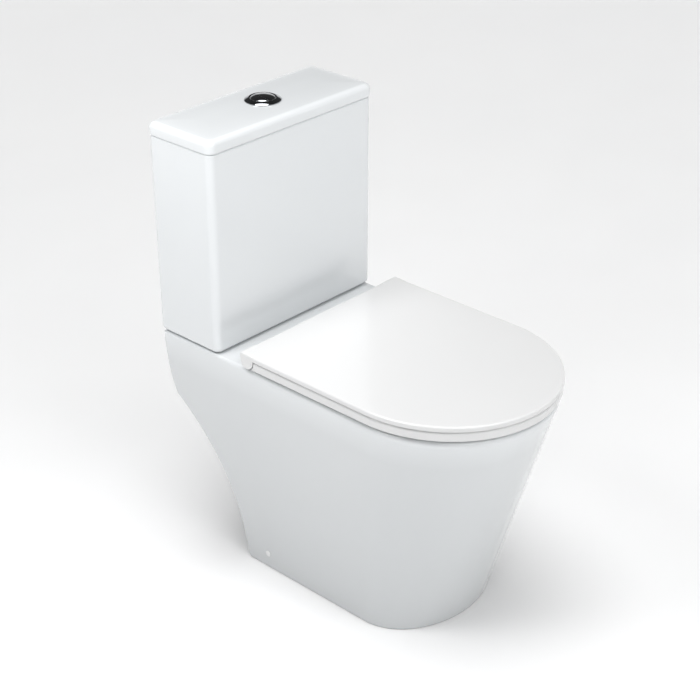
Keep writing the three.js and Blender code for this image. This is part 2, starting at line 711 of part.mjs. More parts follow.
function valveStem() {
  const y = CISTERN_Y;
  const tubeTop = BRIDGE_Z - LIFT - 2;
  const headZ = LEVER_Z + LEVER_THICKNESS / 2 + GAP;
  const shell = upright(0, y, VALVE_SEAT_Z + 3 + GAP, tubeTop, STEM_RADIUS, 24).add(
    upright(0, y, VALVE_SEAT_Z + 3 + GAP, VALVE_SEAT_Z + 6, VALVE_RADIUS - 5, 24),
  );
  const hollow = upright(0, y, VALVE_SEAT_Z, tubeTop + 1, STEM_BORE, 20);
  const spider = joined([
    box([-STEM_BORE - 1, y - 1.5, tubeTop - 26], [STEM_BORE + 1, y + 1.5, tubeTop - 12]),
    upright(0, y, tubeTop - 26, headZ + 3, LIFT_ROD, 12),
  ]);
  const wing = box([-LIFT_X - 1, y - LEVER_Y - 3, headZ], [3, y + 3, headZ + 3]);
  return piece("overflow_tube", BLUE_PLASTIC, shell.subtract(hollow).add(spider).add(wing));
}

const FLOAT_ROD_X = 14; // half-flush float's rod, beside the half lever's lifting end
const FLOAT_ROD_Y = 15;
const HALF_FLOAT_Z = CISTERN_FLOOR_Z + 120;

function halfFlushFloat() {
  const y = CISTERN_Y;
  const x = FLOAT_ROD_X;
  const headZ = LEVER_Z + LEVER_THICKNESS / 2 + GAP;
  const cup = tube(0, y, HALF_FLOAT_Z, HALF_FLOAT_Z + 46, 28, STEM_RADIUS + RUN, 20);
  const rod = upright(x, y + FLOAT_ROD_Y, HALF_FLOAT_Z + 40, headZ + 2, 2, 10);
  const bracket = box([x - 3, y + FLOAT_ROD_Y - 2, HALF_FLOAT_Z + 40], [x + 3, y + 24, HALF_FLOAT_Z + 50]);
  const hook = box([x - 3, y + LEVER_Y - LEVER_HALF_WIDTH, headZ], [x + 3, y + FLOAT_ROD_Y + 2, headZ + 3]);
  return piece("half_flush_float", WHITE_PLASTIC, joined([cup, bracket, rod, hook]));
}

function flushValve() {
  const y = CISTERN_Y;
  const nutTop = CISTERN_Z - GAP;
  const nutHeight = 10;
  const gasketTop = nutTop - nutHeight - GAP;
  const gasketBottom = PAN_HEIGHT - INLET_RECESS_DEPTH + GAP;
  return [
    flushBody(),
    piece(
      "flush_valve_washer",
      RUBBER,
      tube(0, y, CISTERN_FLOOR_Z + GAP, CISTERN_FLOOR_Z + 2, VALVE_RADIUS + 3, TAIL_OD + GAP, 28),
    ),
    piece(
      "flush_valve_seal",
      SEAL,
      tube(0, y, VALVE_SEAT_Z + GAP, VALVE_SEAT_Z + 3, VALVE_RADIUS - 5, 17, 24),
    ),
    piece(
      "flush_valve_back_nut",
      WHITE_PLASTIC,
      tube(0, y, nutTop - nutHeight, nutTop, INLET_RECESS - 5, TAIL_OD + GAP, 12),
    ),
    piece(
      "coupling_gasket",
      RUBBER,
      turned(0, y, [
        [TAIL_OD + GAP, gasketBottom],
        [INLET_RECESS - 7, gasketBottom],
        [INLET_RECESS - 2, (gasketBottom + gasketTop) / 2],
        [INLET_RECESS - 7, gasketTop],
        [TAIL_OD + GAP, gasketTop],
        [TAIL_OD + GAP, gasketBottom],
      ]),
    ),
    valveStem(),
    halfFlushFloat(),
    piece("full_flush_lever", BLUE_PLASTIC, lever(-1)),
    piece("half_flush_lever", GREY_PLASTIC, lever(1)),
  ];
}

// ---------- fill valve ----------

const SHANK_RADIUS = 10.2;
const COLUMN_RADIUS = 11;
const FILL_HEAD_Z = CISTERN_TOP - 74;
const FILL_HEAD_HEIGHT = 34;
const FLOAT_RADIUS = 27;
const FLOAT_HEIGHT = 64;
const FLOAT_TRAVEL = 12;
const FLOAT_Z = FILL_HEAD_Z - FLOAT_TRAVEL - FLOAT_HEIGHT - 16;
const ARM_PIVOT_X = FILL_X + 12;
const ARM_LENGTH = 36;
const ARM_Z = FILL_HEAD_Z + FILL_HEAD_HEIGHT + 6;
const LINK_X = ARM_PIVOT_X - ARM_LENGTH;

function fillValve() {
  const x = FILL_X;
  const y = CISTERN_Y;
  const flangeZ = CISTERN_FLOOR_Z + 2 + GAP;
  const headTop = FILL_HEAD_Z + FILL_HEAD_HEIGHT;
  const body = joined([
    upright(x, y, CISTERN_Z - 48, flangeZ + 1, SHANK_RADIUS, 18),
    upright(x, y, flangeZ, flangeZ + 4, 17, 18),
    upright(x, y, flangeZ + 3, FILL_HEAD_Z + 1, COLUMN_RADIUS, 18),
    upright(x, y, FILL_HEAD_Z, headTop, 19, 20, 17),
    box([ARM_PIVOT_X - 4, y - 8, headTop - 1], [ARM_PIVOT_X + 4, y - 4.5, ARM_Z + 4]),
    box([ARM_PIVOT_X - 4, y + 4.5, headTop - 1], [ARM_PIVOT_X + 4, y + 8, ARM_Z + 4]),
  ]);
  const bores = joined([
    upright(x, y, CISTERN_Z - 49, flangeZ, 6, 12),
    depthRod(ARM_PIVOT_X, y - 12, y + 12, ARM_Z, 1.5 + GAP, 8),
  ]);
  const float = joined([
    tube(x, y, FLOAT_Z, FLOAT_Z + FLOAT_HEIGHT, FLOAT_RADIUS, COLUMN_RADIUS + RUN, 20),
    upright(LINK_X, y, FLOAT_Z + FLOAT_HEIGHT - 2, ARM_Z + 9, 1.8, 8),
    upright(LINK_X, y, ARM_Z + 6.5, ARM_Z + 9, 4, 10),
  ]);
  const beam = joined([
    box([LINK_X - 8, y - 4, ARM_Z - 2.5], [ARM_PIVOT_X + 7, y + 4, ARM_Z + 2.5]),
    depthRod(ARM_PIVOT_X, y - 7.5, y + 7.5, ARM_Z, 1.5, 8),
  ]);
  const arm = cut(beam, box([LINK_X - 5, y - 2.5, ARM_Z - 6], [LINK_X + 5, y + 2.5, ARM_Z + 6]));
  const nutTop = CISTERN_Z - GAP;
  return [
    piece("fill_valve_body", WHITE_PLASTIC, cut(body, bores)),
    piece(
      "fill_valve_washer",
      RUBBER,
      tube(x, y, CISTERN_FLOOR_Z + GAP, CISTERN_FLOOR_Z + 2, 16, SHANK_RADIUS + GAP, 18),
    ),
    piece("fill_valve_back_nut", WHITE_PLASTIC, tube(x, y, nutTop - 9, nutTop, 17, SHANK_RADIUS + GAP, 6)),
    piece("fill_valve_float", BLUE_PLASTIC, float),
    piece("fill_valve_arm", GREY_PLASTIC, arm),
  ];
}

// ---------- flush buttons ----------

const BUTTON_RADIUS = 20.8;
const BEZEL_RADIUS = 30.5;
const SLEEVE_RADIUS = BUTTON_HOLE - 1;
const BUTTON_SPLIT_X = -5; // the half flush is the smaller part
const DOME_HEIGHT = 9; // top of the dome above the lid
const PLATE_Z = LID_Z + 5; // the sleeve's floor, which holds the springs
const BUTTON_Z = LID_TOP - 4; // underside of the buttons

function bezel() {
  const outer = SLEEVE_RADIUS;
  const inner = BUTTON_RADIUS + RUN;
  const z = LID_TOP + GAP;
  const shell = turned(0, CISTERN_Y, [
    [0, PLATE_Z],
    [outer, PLATE_Z],
    [outer, z],
    [BEZEL_RADIUS, z],
    [BEZEL_RADIUS, z + 1.2],
    [BEZEL_RADIUS - 4, z + 3.6],
    [inner + 2.5, z + 5],
    [inner, z + 4.6],
    [inner, PLATE_Z + 3],
    [0, PLATE_Z + 3],
  ], 32);
  const rodHole = (side) =>
    upright(side * PRESS_X, CISTERN_Y - side * LEVER_Y, PLATE_Z - 1, PLATE_Z + 4, 2.5 + RUN, 10);
  return piece("button_bezel", CHROME, cut(shell, rodHole(-1), rodHole(1)));
}

/** One part of the split dome: side 1 is the full flush, -1 the half flush. */
function button(side) {
  const z = LID_TOP;
  const dome = turned(0, CISTERN_Y, [
    [0, BUTTON_Z],
    [BUTTON_RADIUS, BUTTON_Z],
    [BUTTON_RADIUS, z + 4],
    [BUTTON_RADIUS * 0.8, z + DOME_HEIGHT - 2.4],
    [BUTTON_RADIUS * 0.45, z + DOME_HEIGHT - 0.6],
    [0, z + DOME_HEIGHT],
  ], 32);
  const split = BUTTON_SPLIT_X + side * RUN;
  const [low, high] = side > 0 ? [-60, split] : [split, 60];
  return dome.subtract(box([low, CISTERN_Y - 60, LID_Z - 40], [high, CISTERN_Y + 60, LID_TOP + 40]));
}

/** A push rod with a round tip resting on its lever. */
function pushRod(side) {
  const x = side * PRESS_X;
  const y = CISTERN_Y - side * LEVER_Y;
  const radius = LEVER_HALF_WIDTH;
  const tip = LEVER_Z + LEVER_THICKNESS / 2 + GAP;
  const quarter = arc(0, tip + radius, radius, radius, -Math.PI / 2, 0, 3).map((p) => [p.x, p.y]);
  quarter[0][0] = 0;
  return turned(x, y, [...quarter, [radius, BUTTON_Z - GAP], [0, BUTTON_Z - GAP]], 10);
}

const SPRING_TURNS = 3.5;
const SPRING_WIRE = 0.6;
const SPRING_RADIUS = LEVER_HALF_WIDTH + 1.4;

class Helix extends THREE.Curve {
  constructor(x, y, z0, z1, radius, turns) {
    super();
    Object.assign(this, { x, y, z0, z1, radius, turns });
  }
  getPoint(t, target = new THREE.Vector3()) {
    const angle = t * this.turns * 2 * Math.PI;
    return target.set(
      this.x + this.radius * Math.cos(angle),
      this.y + this.radius * Math.sin(angle),
      between(this.z0, this.z1, t),
    );
  }
}

function spring(side) {
  const x = side * PRESS_X;
  const y = CISTERN_Y - side * LEVER_Y;
  const low = PLATE_Z + 3 + GAP + SPRING_WIRE;
  const high = BUTTON_Z - GAP - SPRING_WIRE;
  const path = new Helix(x, y, low, high, SPRING_RADIUS, SPRING_TURNS);
  const section = new THREE.Shape(arc(0, 0, SPRING_WIRE, SPRING_WIRE, 0, 2 * Math.PI, 4).slice(0, -1));
  return solid(new THREE.ExtrudeGeometry(section, { steps: SPRING_TURNS * 8, extrudePath: path }));
}

function buttons() {
  const nutTop = LID_TOP - LID_CROWN - GAP;
  return [
    bezel(),
    piece("button_nut", WHITE_PLASTIC, tube(0, CISTERN_Y, nutTop - 8, nutTop, 31, SLEEVE_RADIUS + GAP, 24)),
    piece("full_flush_button", CHROME, button(1)),
    piece("half_flush_button", CHROME, button(-1)),
    piece("full_flush_rod", WHITE_PLASTIC, pushRod(1)),
    piece("half_flush_rod", WHITE_PLASTIC, pushRod(-1)),
    piece("full_flush_spring", STEEL, spring(1)),
    piece("half_flush_spring", STEEL, spring(-1)),
  ];
}

// ---------- seat ----------

const RING_Z = PAN_HEIGHT + 2.5; // underside of the seat ring, on its buffers
const RING_THICKNESS = 17;
const SEAM = 1.2; // between ring and lid
const SEAT_LID_Z = RING_Z + RING_THICKNESS + SEAM;
const SEAT_LID_THICKNESS = 10;
const SEAT_TOP = SEAT_LID_Z + SEAT_LID_THICKNESS;
const AXIS_Z = SEAT_TOP - 13.5;
const EAR_RADIUS = 13;
const EAR_X = SEAT_WIDTH / 2 - 34.5; // inner face of the lid's end lugs
const LUG_RADIUS = 9.5; // ring lugs and hinge knuckles
const LUG_GAP = 2; // between knuckle and lug
const KNUCKLE_END = HINGE_X + (EAR_X - HINGE_X) * 0.456;
const LUG_X = KNUCKLE_END + LUG_GAP; // inner face of the ring's lugs
const KNUCKLE_X = [HINGE_X - 20.5, KNUCKLE_END]; // between the lid's middle bar and the ring's lug
const BAR_X = HINGE_X - 23.5; // half length of the lid's middle bar
const PIN_RADIUS = 4;
const RING_HALF_OPENING = SEAT_WIDTH / 2 - 74.5;
const RING_FRONT_WIDTH = 64;
const RING_OPENING_BACK = AXIS_Y - 72;
const SEAT_CORNER = 3;

const seatOutline = (noseSteps) =>
  dOutline(SEAT_WIDTH / 2, SEAT_BACK_Y, NOSE_Y, SEAT_NOSE, SEAT_CORNER, noseSteps);

/** Puts a point of the seat's outline at its place, moved in by inset all round but the back. */
const seatWall = (inset) => (x, y) => [
  x * (1 - (2 * inset) / SEAT_WIDTH),
  y < NOSE_Y ? NOSE_Y - ((NOSE_Y - y) * (SEAT_NOSE - inset)) / SEAT_NOSE : y,
];

/** The hinge bar's end profile: flat on top and behind, round below, from x0 to x1. */
function hingeBar(x0, x1) {
  const back = SEAT_BACK_Y - AXIS_Y;
  const round = arc(AXIS_Y, AXIS_Z, EAR_RADIUS, EAR_RADIUS, 0, -Math.PI, 10).map((p) => [p.x, p.y]);
  const points = [
    [AXIS_Y + back, SEAT_TOP],
    [AXIS_Y - EAR_RADIUS, SEAT_TOP],
    ...round.reverse(),
    [AXIS_Y + back, AXIS_Z + 2],
  ];
  return sideProfile(points, x0, x1);
}

function seatLid() {
  const topRound = 3;
  const levels = [
    { z: SEAT_LID_Z, place: seatWall(1) },
    { z: SEAT_LID_Z + 1.2, place: seatWall(0) },
    ...roundedEdge(SEAT_TOP, topRound, 3).map(([z, inset]) => ({ z, place: seatWall(inset) })),
  ];
  const plate = stack(seatOutline(), levels);
  const room = stack(seatOutline(20), [
    { z: SEAT_LID_Z - 1, place: insideSeat(9) },
    { z: SEAT_TOP - 4, place: insideSeat(9) },
  ]);
  // the plate is thin over the knuckles and lugs, with room for them to turn
  const turning = [-1, 1].flatMap((side) => {
    const [x0, x1] = side < 0 ? [-EAR_X, -BAR_X - 1] : [BAR_X + 1, EAR_X];
    return [
      crossRod(x0, x1, AXIS_Y, AXIS_Z, LUG_RADIUS + RUN + 0.4, 20),
      box([x0, AXIS_Y - 22, SEAT_LID_Z - 20], [x1, SEAT_BACK_Y + 1, AXIS_Z + 4]),
    ];
  });
  const bores = [
    crossRod(-SEAT_WIDTH / 2 + 8, -EAR_X + 1, AXIS_Y, AXIS_Z, DAMPER_RADIUS + GAP, 16),
    crossRod(EAR_X - 1, SEAT_WIDTH / 2 - 8, AXIS_Y, AXIS_Z, PIN_RADIUS + RUN, 12),
  ];
  const bars = [
    hingeBar(-BAR_X, BAR_X),
    hingeBar(EAR_X, SEAT_WIDTH / 2 - 0.4),
    hingeBar(-SEAT_WIDTH / 2 + 0.4, -EAR_X),
  ];
  return piece("seat_lid", SEAT_PLASTIC, cut(joined([cut(plate, room, ...turning), ...bars]), ...bores));
}

/** The lid's recess: in from every edge, and short of the hinge line at the back. */
const insideSeat = (inset) => (x, y) => {
  const [px, py] = seatWall(inset)(x, y);
  return [px, Math.min(py, AXIS_Y - 24)];
};

function ringOpening(grow, z0, z1) {
  const front = Y_FRONT + RING_FRONT_WIDTH;
  const middle = (front + RING_OPENING_BACK) / 2 + 47;
  const half = RING_HALF_OPENING + grow;
  const ahead = middle - front + grow;
  const behind = RING_OPENING_BACK - middle + grow;
  const outline = [
    ...arc(0, middle, half, ahead, Math.PI, 2 * Math.PI, 16),
    ...arc(0, middle, half, behind, 0, Math.PI, 16).slice(1, -1),
  ];
  const place = (x, y) => [x, y];
  return stack(outline, [
    { z: z0, place },
    { z: z1, place },
  ]);
}

function seatRing() {
  const top = RING_Z + RING_THICKNESS;
  const outside = stack(seatOutline(), [
    { z: RING_Z, place: seatWall(2.5) },
    { z: RING_Z + 4, place: seatWall(0.3) },
    ...roundedEdge(top, 3.5, 3).map(([z, inset]) => ({ z, place: seatWall(inset + 0.3) })),
  ]);
  // a hollow all round the underside
  const channel = cut(
    stack(seatOutline(20), [
      { z: RING_Z - 1, place: insideSeat(8) },
      { z: top - 5, place: insideSeat(12) },
    ]),
    ringOpening(9, RING_Z - 2, top),
    ...[-1, 1].flatMap((side) =>
      BUFFER_PLACES.map(([x, y]) => upright(side * x, y, RING_Z - 2, top, 11, 12)),
    ),
  );
  const clearance = EAR_RADIUS + 2;
  const behind = [
    crossRod(-SEAT_WIDTH, SEAT_WIDTH, AXIS_Y, AXIS_Z, clearance, 28),
    box([-SEAT_WIDTH, AXIS_Y, RING_Z - 10], [SEAT_WIDTH, SEAT_BACK_Y + 5, SEAT_TOP + 10]),
    ...[-1, 1].map((side) => {
      const [x0, x1] = side < 0 ? [-LUG_X, -BAR_X] : [BAR_X, LUG_X];
      return box([x0, AXIS_Y - 32, RING_Z - 10], [x1, SEAT_BACK_Y, SEAT_TOP]);
    }),
  ];
  const lugs = [-1, 1].map((side) => {
    const [x0, x1] = side < 0 ? [-EAR_X + 1, -LUG_X] : [LUG_X, EAR_X - 1];
    const bore =
      side > 0
        ? crossRod(x0 - 1, x1 - 3, AXIS_Y, AXIS_Z, DAMPER_IN_RING + GAP, 16)
        : crossRod(x0 - 1, x1 + 1, AXIS_Y, AXIS_Z, PIN_RADIUS + RUN, 12);
    const shaft = crossRod(x0 - 1, x1 + 1, AXIS_Y, AXIS_Z, PIN_RADIUS + RUN, 12);
    const barrel = crossRod(x0, x1, AXIS_Y, AXIS_Z, LUG_RADIUS, 20);
    const neck = box([x0, AXIS_Y - 20, AXIS_Z - LUG_RADIUS], [x1, AXIS_Y, AXIS_Z + 1]);
    return cut(barrel.add(neck), bore, shaft);
  });
  const ring = cut(outside, channel, ringOpening(0, RING_Z - 5, SEAT_TOP), ...behind);
  return piece("seat_ring", SEAT_PLASTIC, joined([ring, ...lugs]));
}

const BUFFER_PLACES = [
  [SEAT_WIDTH / 2 - 63.5, AXIS_Y - 70],
  [SEAT_WIDTH / 2 - 53.5, NOSE_Y - 18],
];
const BUFFER_HEIGHT = 6;

/** Rubber buffers: four under the ring, and two under the lid. */
function buffers() {
  const made = [];
  const bottom = PAN_HEIGHT + GAP;
  for (const [side, word] of [[-1, "left"], [1, "right"]]) {
    BUFFER_PLACES.forEach(([x, y], i) => {
      const place = i ? "front" : "back";
      const pad = upright(side * x, y, bottom, RING_Z - GAP, 8, 12, 9);
      made.push(piece(`ring_buffer_${place}_${word}`, GREY_PLASTIC, pad));
    });
    const x = side * (RING_HALF_OPENING + 36);
    const pad = upright(x, NOSE_Y + 10, SEAT_LID_Z - SEAM + GAP, SEAT_TOP - 4 - GAP, 6, 12, 7);
    made.push(piece(`lid_buffer_${word}`, GREY_PLASTIC, pad));
  }
  return made;
}

// ---------- seat hinges ----------

const DAMPER_RADIUS = 8; // the lid's damper, in its left end lug
const DAMPER_IN_RING = 6.5; // the ring's damper, in its right lug
const HINGE_BASE_RADIUS = 11;
const HINGE_BASE_HEIGHT = 4;
const STUD_RADIUS = 3;

function hinge(side, word) {
  const x = side * HINGE_X;
  const y = HINGE_BASE_Y;
  const baseZ = PAN_HEIGHT + 1.5 + GAP;
  const [k0, k1] = side < 0 ? [-KNUCKLE_X[1], -KNUCKLE_X[0]] : KNUCKLE_X;
  const knuckle = joined([
    upright(x, y, baseZ, baseZ + HINGE_BASE_HEIGHT, HINGE_BASE_RADIUS, 20),
    box([x - 8, AXIS_Y - 18, baseZ + 2], [x + 8, AXIS_Y, AXIS_Z]),
    crossRod(k0, k1, AXIS_Y, AXIS_Z, LUG_RADIUS, 20),
  ]);
  const pinInner = side * (HINGE_X + 4);
  const pinHole = crossRod(pinInner - side, side * 150, AXIS_Y, AXIS_Z, PIN_RADIUS + GAP, 12);
  const studHole = upright(x, y, baseZ - 1, baseZ + 9, STUD_RADIUS + GAP, 10);
  const studTop = baseZ + 8;
  const stud = upright(x, y, SHELF_UNDER - 30, studTop, STUD_RADIUS, 10);
  const washerTop = PAN_HEIGHT + 1.5;
  // the left pin ends in the lid's damper, and the right one carries on through the ring's damper
  const pinEnd = side < 0 ? -EAR_X - 12 : SEAT_WIDTH / 2 - 14;
  return [
    piece(`hinge_knuckle_${word}`, CHROME, cut(knuckle, pinHole, studHole)),
    piece(
      `hinge_gasket_${word}`,
      RUBBER,
      tube(x, y, PAN_HEIGHT + GAP, washerTop, HINGE_BASE_RADIUS - 1, STUD_RADIUS + GAP, 16),
    ),
    piece(`hinge_stud_${word}`, STEEL, stud),
    piece(`hinge_wing_nut_${word}`, WHITE_PLASTIC, wingNut(x, y, SHELF_UNDER - GAP, STUD_RADIUS, 14)),
    piece(`hinge_pin_${word}`, STEEL, crossRod(pinInner, pinEnd, AXIS_Y, AXIS_Z, PIN_RADIUS, 12)),
  ];
}

/** Soft-close dampers: the lid's in its left lug, the ring's in its right one. */
function dampers() {
  const shaft = (x0, x1) => crossRod(x0, x1, AXIS_Y, AXIS_Z, PIN_RADIUS + GAP, 12);
  const lidDamper = crossRod(-EAR_X - 0.5, -SEAT_WIDTH / 2 + 8 + GAP, AXIS_Y, AXIS_Z, DAMPER_RADIUS, 16);
  const ringDamper = crossRod(LUG_X + 0.5, EAR_X - 4 - GAP, AXIS_Y, AXIS_Z, DAMPER_IN_RING, 16);
  return [
    piece("lid_damper", GREY_PLASTIC, cut(lidDamper, shaft(-EAR_X - 13, -EAR_X + 1))),
    piece("ring_damper", GREY_PLASTIC, cut(ringDamper, shaft(LUG_X - 1, EAR_X))),
  ];
}

// ---------- assembly ----------

const toilet = new THREE.Group();
toilet.add(
  pan(),
  ...floorFixing(-1, "left"),
  ...floorFixing(1, "right"),
  cistern(),
  cisternLid(),
  ...coupling(-1, "left"),
  ...coupling(1, "right"),
  ...flushValve(),
  ...fillValve(),
  ...buttons(),
  seatLid(),
  seatRing(),
  ...buffers(),
  ...hinge(-1, "left"),
  ...hinge(1, "right"),
  ...dampers(),
);

export default toilet;
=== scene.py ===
"""A close coupled toilet: glazed pan and cistern, soft-close seat, push button and valves.

Sizes are in millimetres, and a shape is brought to metres when it becomes a finished piece.
"""

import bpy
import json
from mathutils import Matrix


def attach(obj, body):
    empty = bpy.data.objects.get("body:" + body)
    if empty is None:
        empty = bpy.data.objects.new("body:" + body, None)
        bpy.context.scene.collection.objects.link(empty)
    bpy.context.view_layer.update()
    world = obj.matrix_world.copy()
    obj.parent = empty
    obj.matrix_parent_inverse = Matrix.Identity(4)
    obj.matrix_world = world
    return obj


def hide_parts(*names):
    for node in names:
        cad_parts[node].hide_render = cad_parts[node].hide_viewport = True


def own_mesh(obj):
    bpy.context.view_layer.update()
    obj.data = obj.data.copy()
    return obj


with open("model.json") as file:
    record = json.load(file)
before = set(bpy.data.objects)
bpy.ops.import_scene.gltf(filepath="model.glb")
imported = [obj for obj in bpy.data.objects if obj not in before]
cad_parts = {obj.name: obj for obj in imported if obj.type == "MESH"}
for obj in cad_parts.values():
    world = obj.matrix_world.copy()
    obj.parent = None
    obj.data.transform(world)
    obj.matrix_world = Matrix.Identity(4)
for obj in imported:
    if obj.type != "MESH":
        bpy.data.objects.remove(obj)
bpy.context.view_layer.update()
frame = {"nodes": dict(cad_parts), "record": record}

import json
import logging
import math
from collections.abc import Iterable, Sequence
from dataclasses import dataclass, field, replace
from enum import Enum

import bmesh
import bpy
from mathutils import Matrix, Vector

log = logging.getLogger("toilet")

Flat = tuple[float, float]
Point = tuple[float, float, float]
Ring = list[Point]

MM = 0.001

# clearance between pieces that rest on each other, and between pieces that run in each other
GAP = 0.3
RUN = 0.5

# places that more than one sub-assembly is built to
PAN_TOP = 415.0
CISTERN_Y = 256.0
LID_TOP = 787.0
COUPLING_X = 74.0
FILL_X = 137.0
STUD_X = 77.5
STUD_Y = 110.0
SCREW_Y = 131.0
SCREW_Z = 32.0
BOLT_HOLE = 6.5


class Side(Enum):
    """The two sides of the toilet, as seen from the front."""

    LEFT = -1
    RIGHT = 1

    @property
    def word(self) -> str:
        """The side's name, as the nodes spell it."""
        return self.name.lower()


class Axis(Enum):
    """The frame's axes."""

    X = (1.0, 0.0, 0.0)
    Y = (0.0, 1.0, 0.0)
    Z = (0.0, 0.0, 1.0)


# ---------------------------------------------------------------- finishes


@dataclass(frozen=True)
class Finish:
    """A surface: its two tones, its gloss and its grain.

    Attributes:
        name: the material's name.
        tone: the main colour.
        second: the colour that the main one drifts towards.
        gloss: lowest and highest roughness.
        metal: 1 for bare metal and plating, 0 for the rest.
        coat: weight of a clear coat over it.
        patch: size of the drift of colour and gloss, as noise scale.
        grain: noise scale of the fine surface relief.
        relief: height of that relief in metres.
        stretch: how the grain is scaled along each axis.
        spread: share of the main colour's weight in the drift.
    """

    name: str
    tone: Point
    second: Point
    gloss: Flat
    metal: float = 0.0
    coat: float = 0.0
    patch: float = 9.0
    grain: float = 300.0
    relief: float = 0.00005
    stretch: Point = (1.0, 1.0, 1.0)
    spread: float = 0.5

    def material(self) -> bpy.types.Material:
        """Builds the finish's node material, or returns it if it is made already.

        Returns:
            The Blender material.
        """
        title = f"toilet_{self.name}"
        made = bpy.data.materials.get(title)
        if made:
            return made
        made = bpy.data.materials.new(title)
        made.use_nodes = True
        nodes, links = made.node_tree.nodes, made.node_tree.links
        shader = nodes["Principled BSDF"]
        shader.inputs["Metallic"].default_value = self.metal
        shader.inputs["Coat Weight"].default_value = self.coat
        shader.inputs["Coat Roughness"].default_value = 0.04
        place = nodes.new("ShaderNodeTexCoord")
        turn = nodes.new("ShaderNodeMapping")
        turn.inputs["Scale"].default_value = self.stretch
        links.new(place.outputs["Object"], turn.inputs["Vector"])

        drift = self._noise(nodes, links, turn, self.patch, 3.0)
        ramp = nodes.new("ShaderNodeValToRGB")
        ramp.color_ramp.elements[0].position = 0.5 - self.spread / 2
        ramp.color_ramp.elements[0].color = (*self.second, 1.0)
        ramp.color_ramp.elements[1].position = 0.5 + self.spread / 2
        ramp.color_ramp.elements[1].color = (*self.tone, 1.0)
        links.new(drift.outputs["Fac"], ramp.inputs["Fac"])
        links.new(self._tinted(nodes, links, place, ramp.outputs["Color"]), shader.inputs["Base Color"])

        wear = self._noise(nodes, links, turn, self.patch * 4.3, 5.0)
        level = nodes.new("ShaderNodeMapRange")
        level.inputs["From Min"].default_value = 0.3
        level.inputs["From Max"].default_value = 0.7
        level.inputs["To Min"].default_value = self.gloss[0]
        level.inputs["To Max"].default_value = self.gloss[1]
        links.new(wear.outputs["Fac"], level.inputs["Value"])
        links.new(level.outputs["Result"], shader.inputs["Roughness"])
        self._relief(nodes, links, turn, shader)
        return made

    def _tinted(
        self,
        nodes: bpy.types.Nodes,
        links: bpy.types.NodeLinks,
        place: bpy.types.Node,
        colour: bpy.types.NodeSocket,
    ) -> bpy.types.NodeSocket:
        """Returns the colour that reaches the surface, which here is the plain one, with no painted shade.

        Args:
            nodes: the material's nodes.
            links: the material's links.
            place: the texture coordinate node.
            colour: the colour so far.

        Returns:
            The socket that holds the colour.
        """
        return colour

    def _noise(
        self,
        nodes: bpy.types.Nodes,
        links: bpy.types.NodeLinks,
        place: bpy.types.Node,
        scale: float,
        detail: float,
    ) -> bpy.types.Node:
        """Adds a noise texture.

        Args:
            nodes: the material's nodes.
            links: the material's links.
            place: the node whose vector the noise reads.
            scale: the noise's scale.
            detail: its octaves.

        Returns:
            The noise node.
        """
        noise = nodes.new("ShaderNodeTexNoise")
        noise.inputs["Scale"].default_value = scale
        noise.inputs["Detail"].default_value = detail
        links.new(place.outputs["Vector"], noise.inputs["Vector"])
        return noise

    def _relief(
        self,
        nodes: bpy.types.Nodes,
        links: bpy.types.NodeLinks,
        place: bpy.types.Node,
        shader: bpy.types.Node,
    ) -> None:
        """Adds the fine grain as a bump.

        Args:
            nodes: the material's nodes.
            links: the material's links.
            place: the node whose vector the grain reads.
            shader: the surface shader.
        """
        grain = self._noise(nodes, links, place, self.grain, 2.0)
        bump = nodes.new("ShaderNodeBump")
        bump.inputs["Strength"].default_value = 1.0
        bump.inputs["Distance"].default_value = self.relief
        links.new(grain.outputs["Fac"], bump.inputs["Height"])
        links.new(bump.outputs["Normal"], shader.inputs["Normal"])


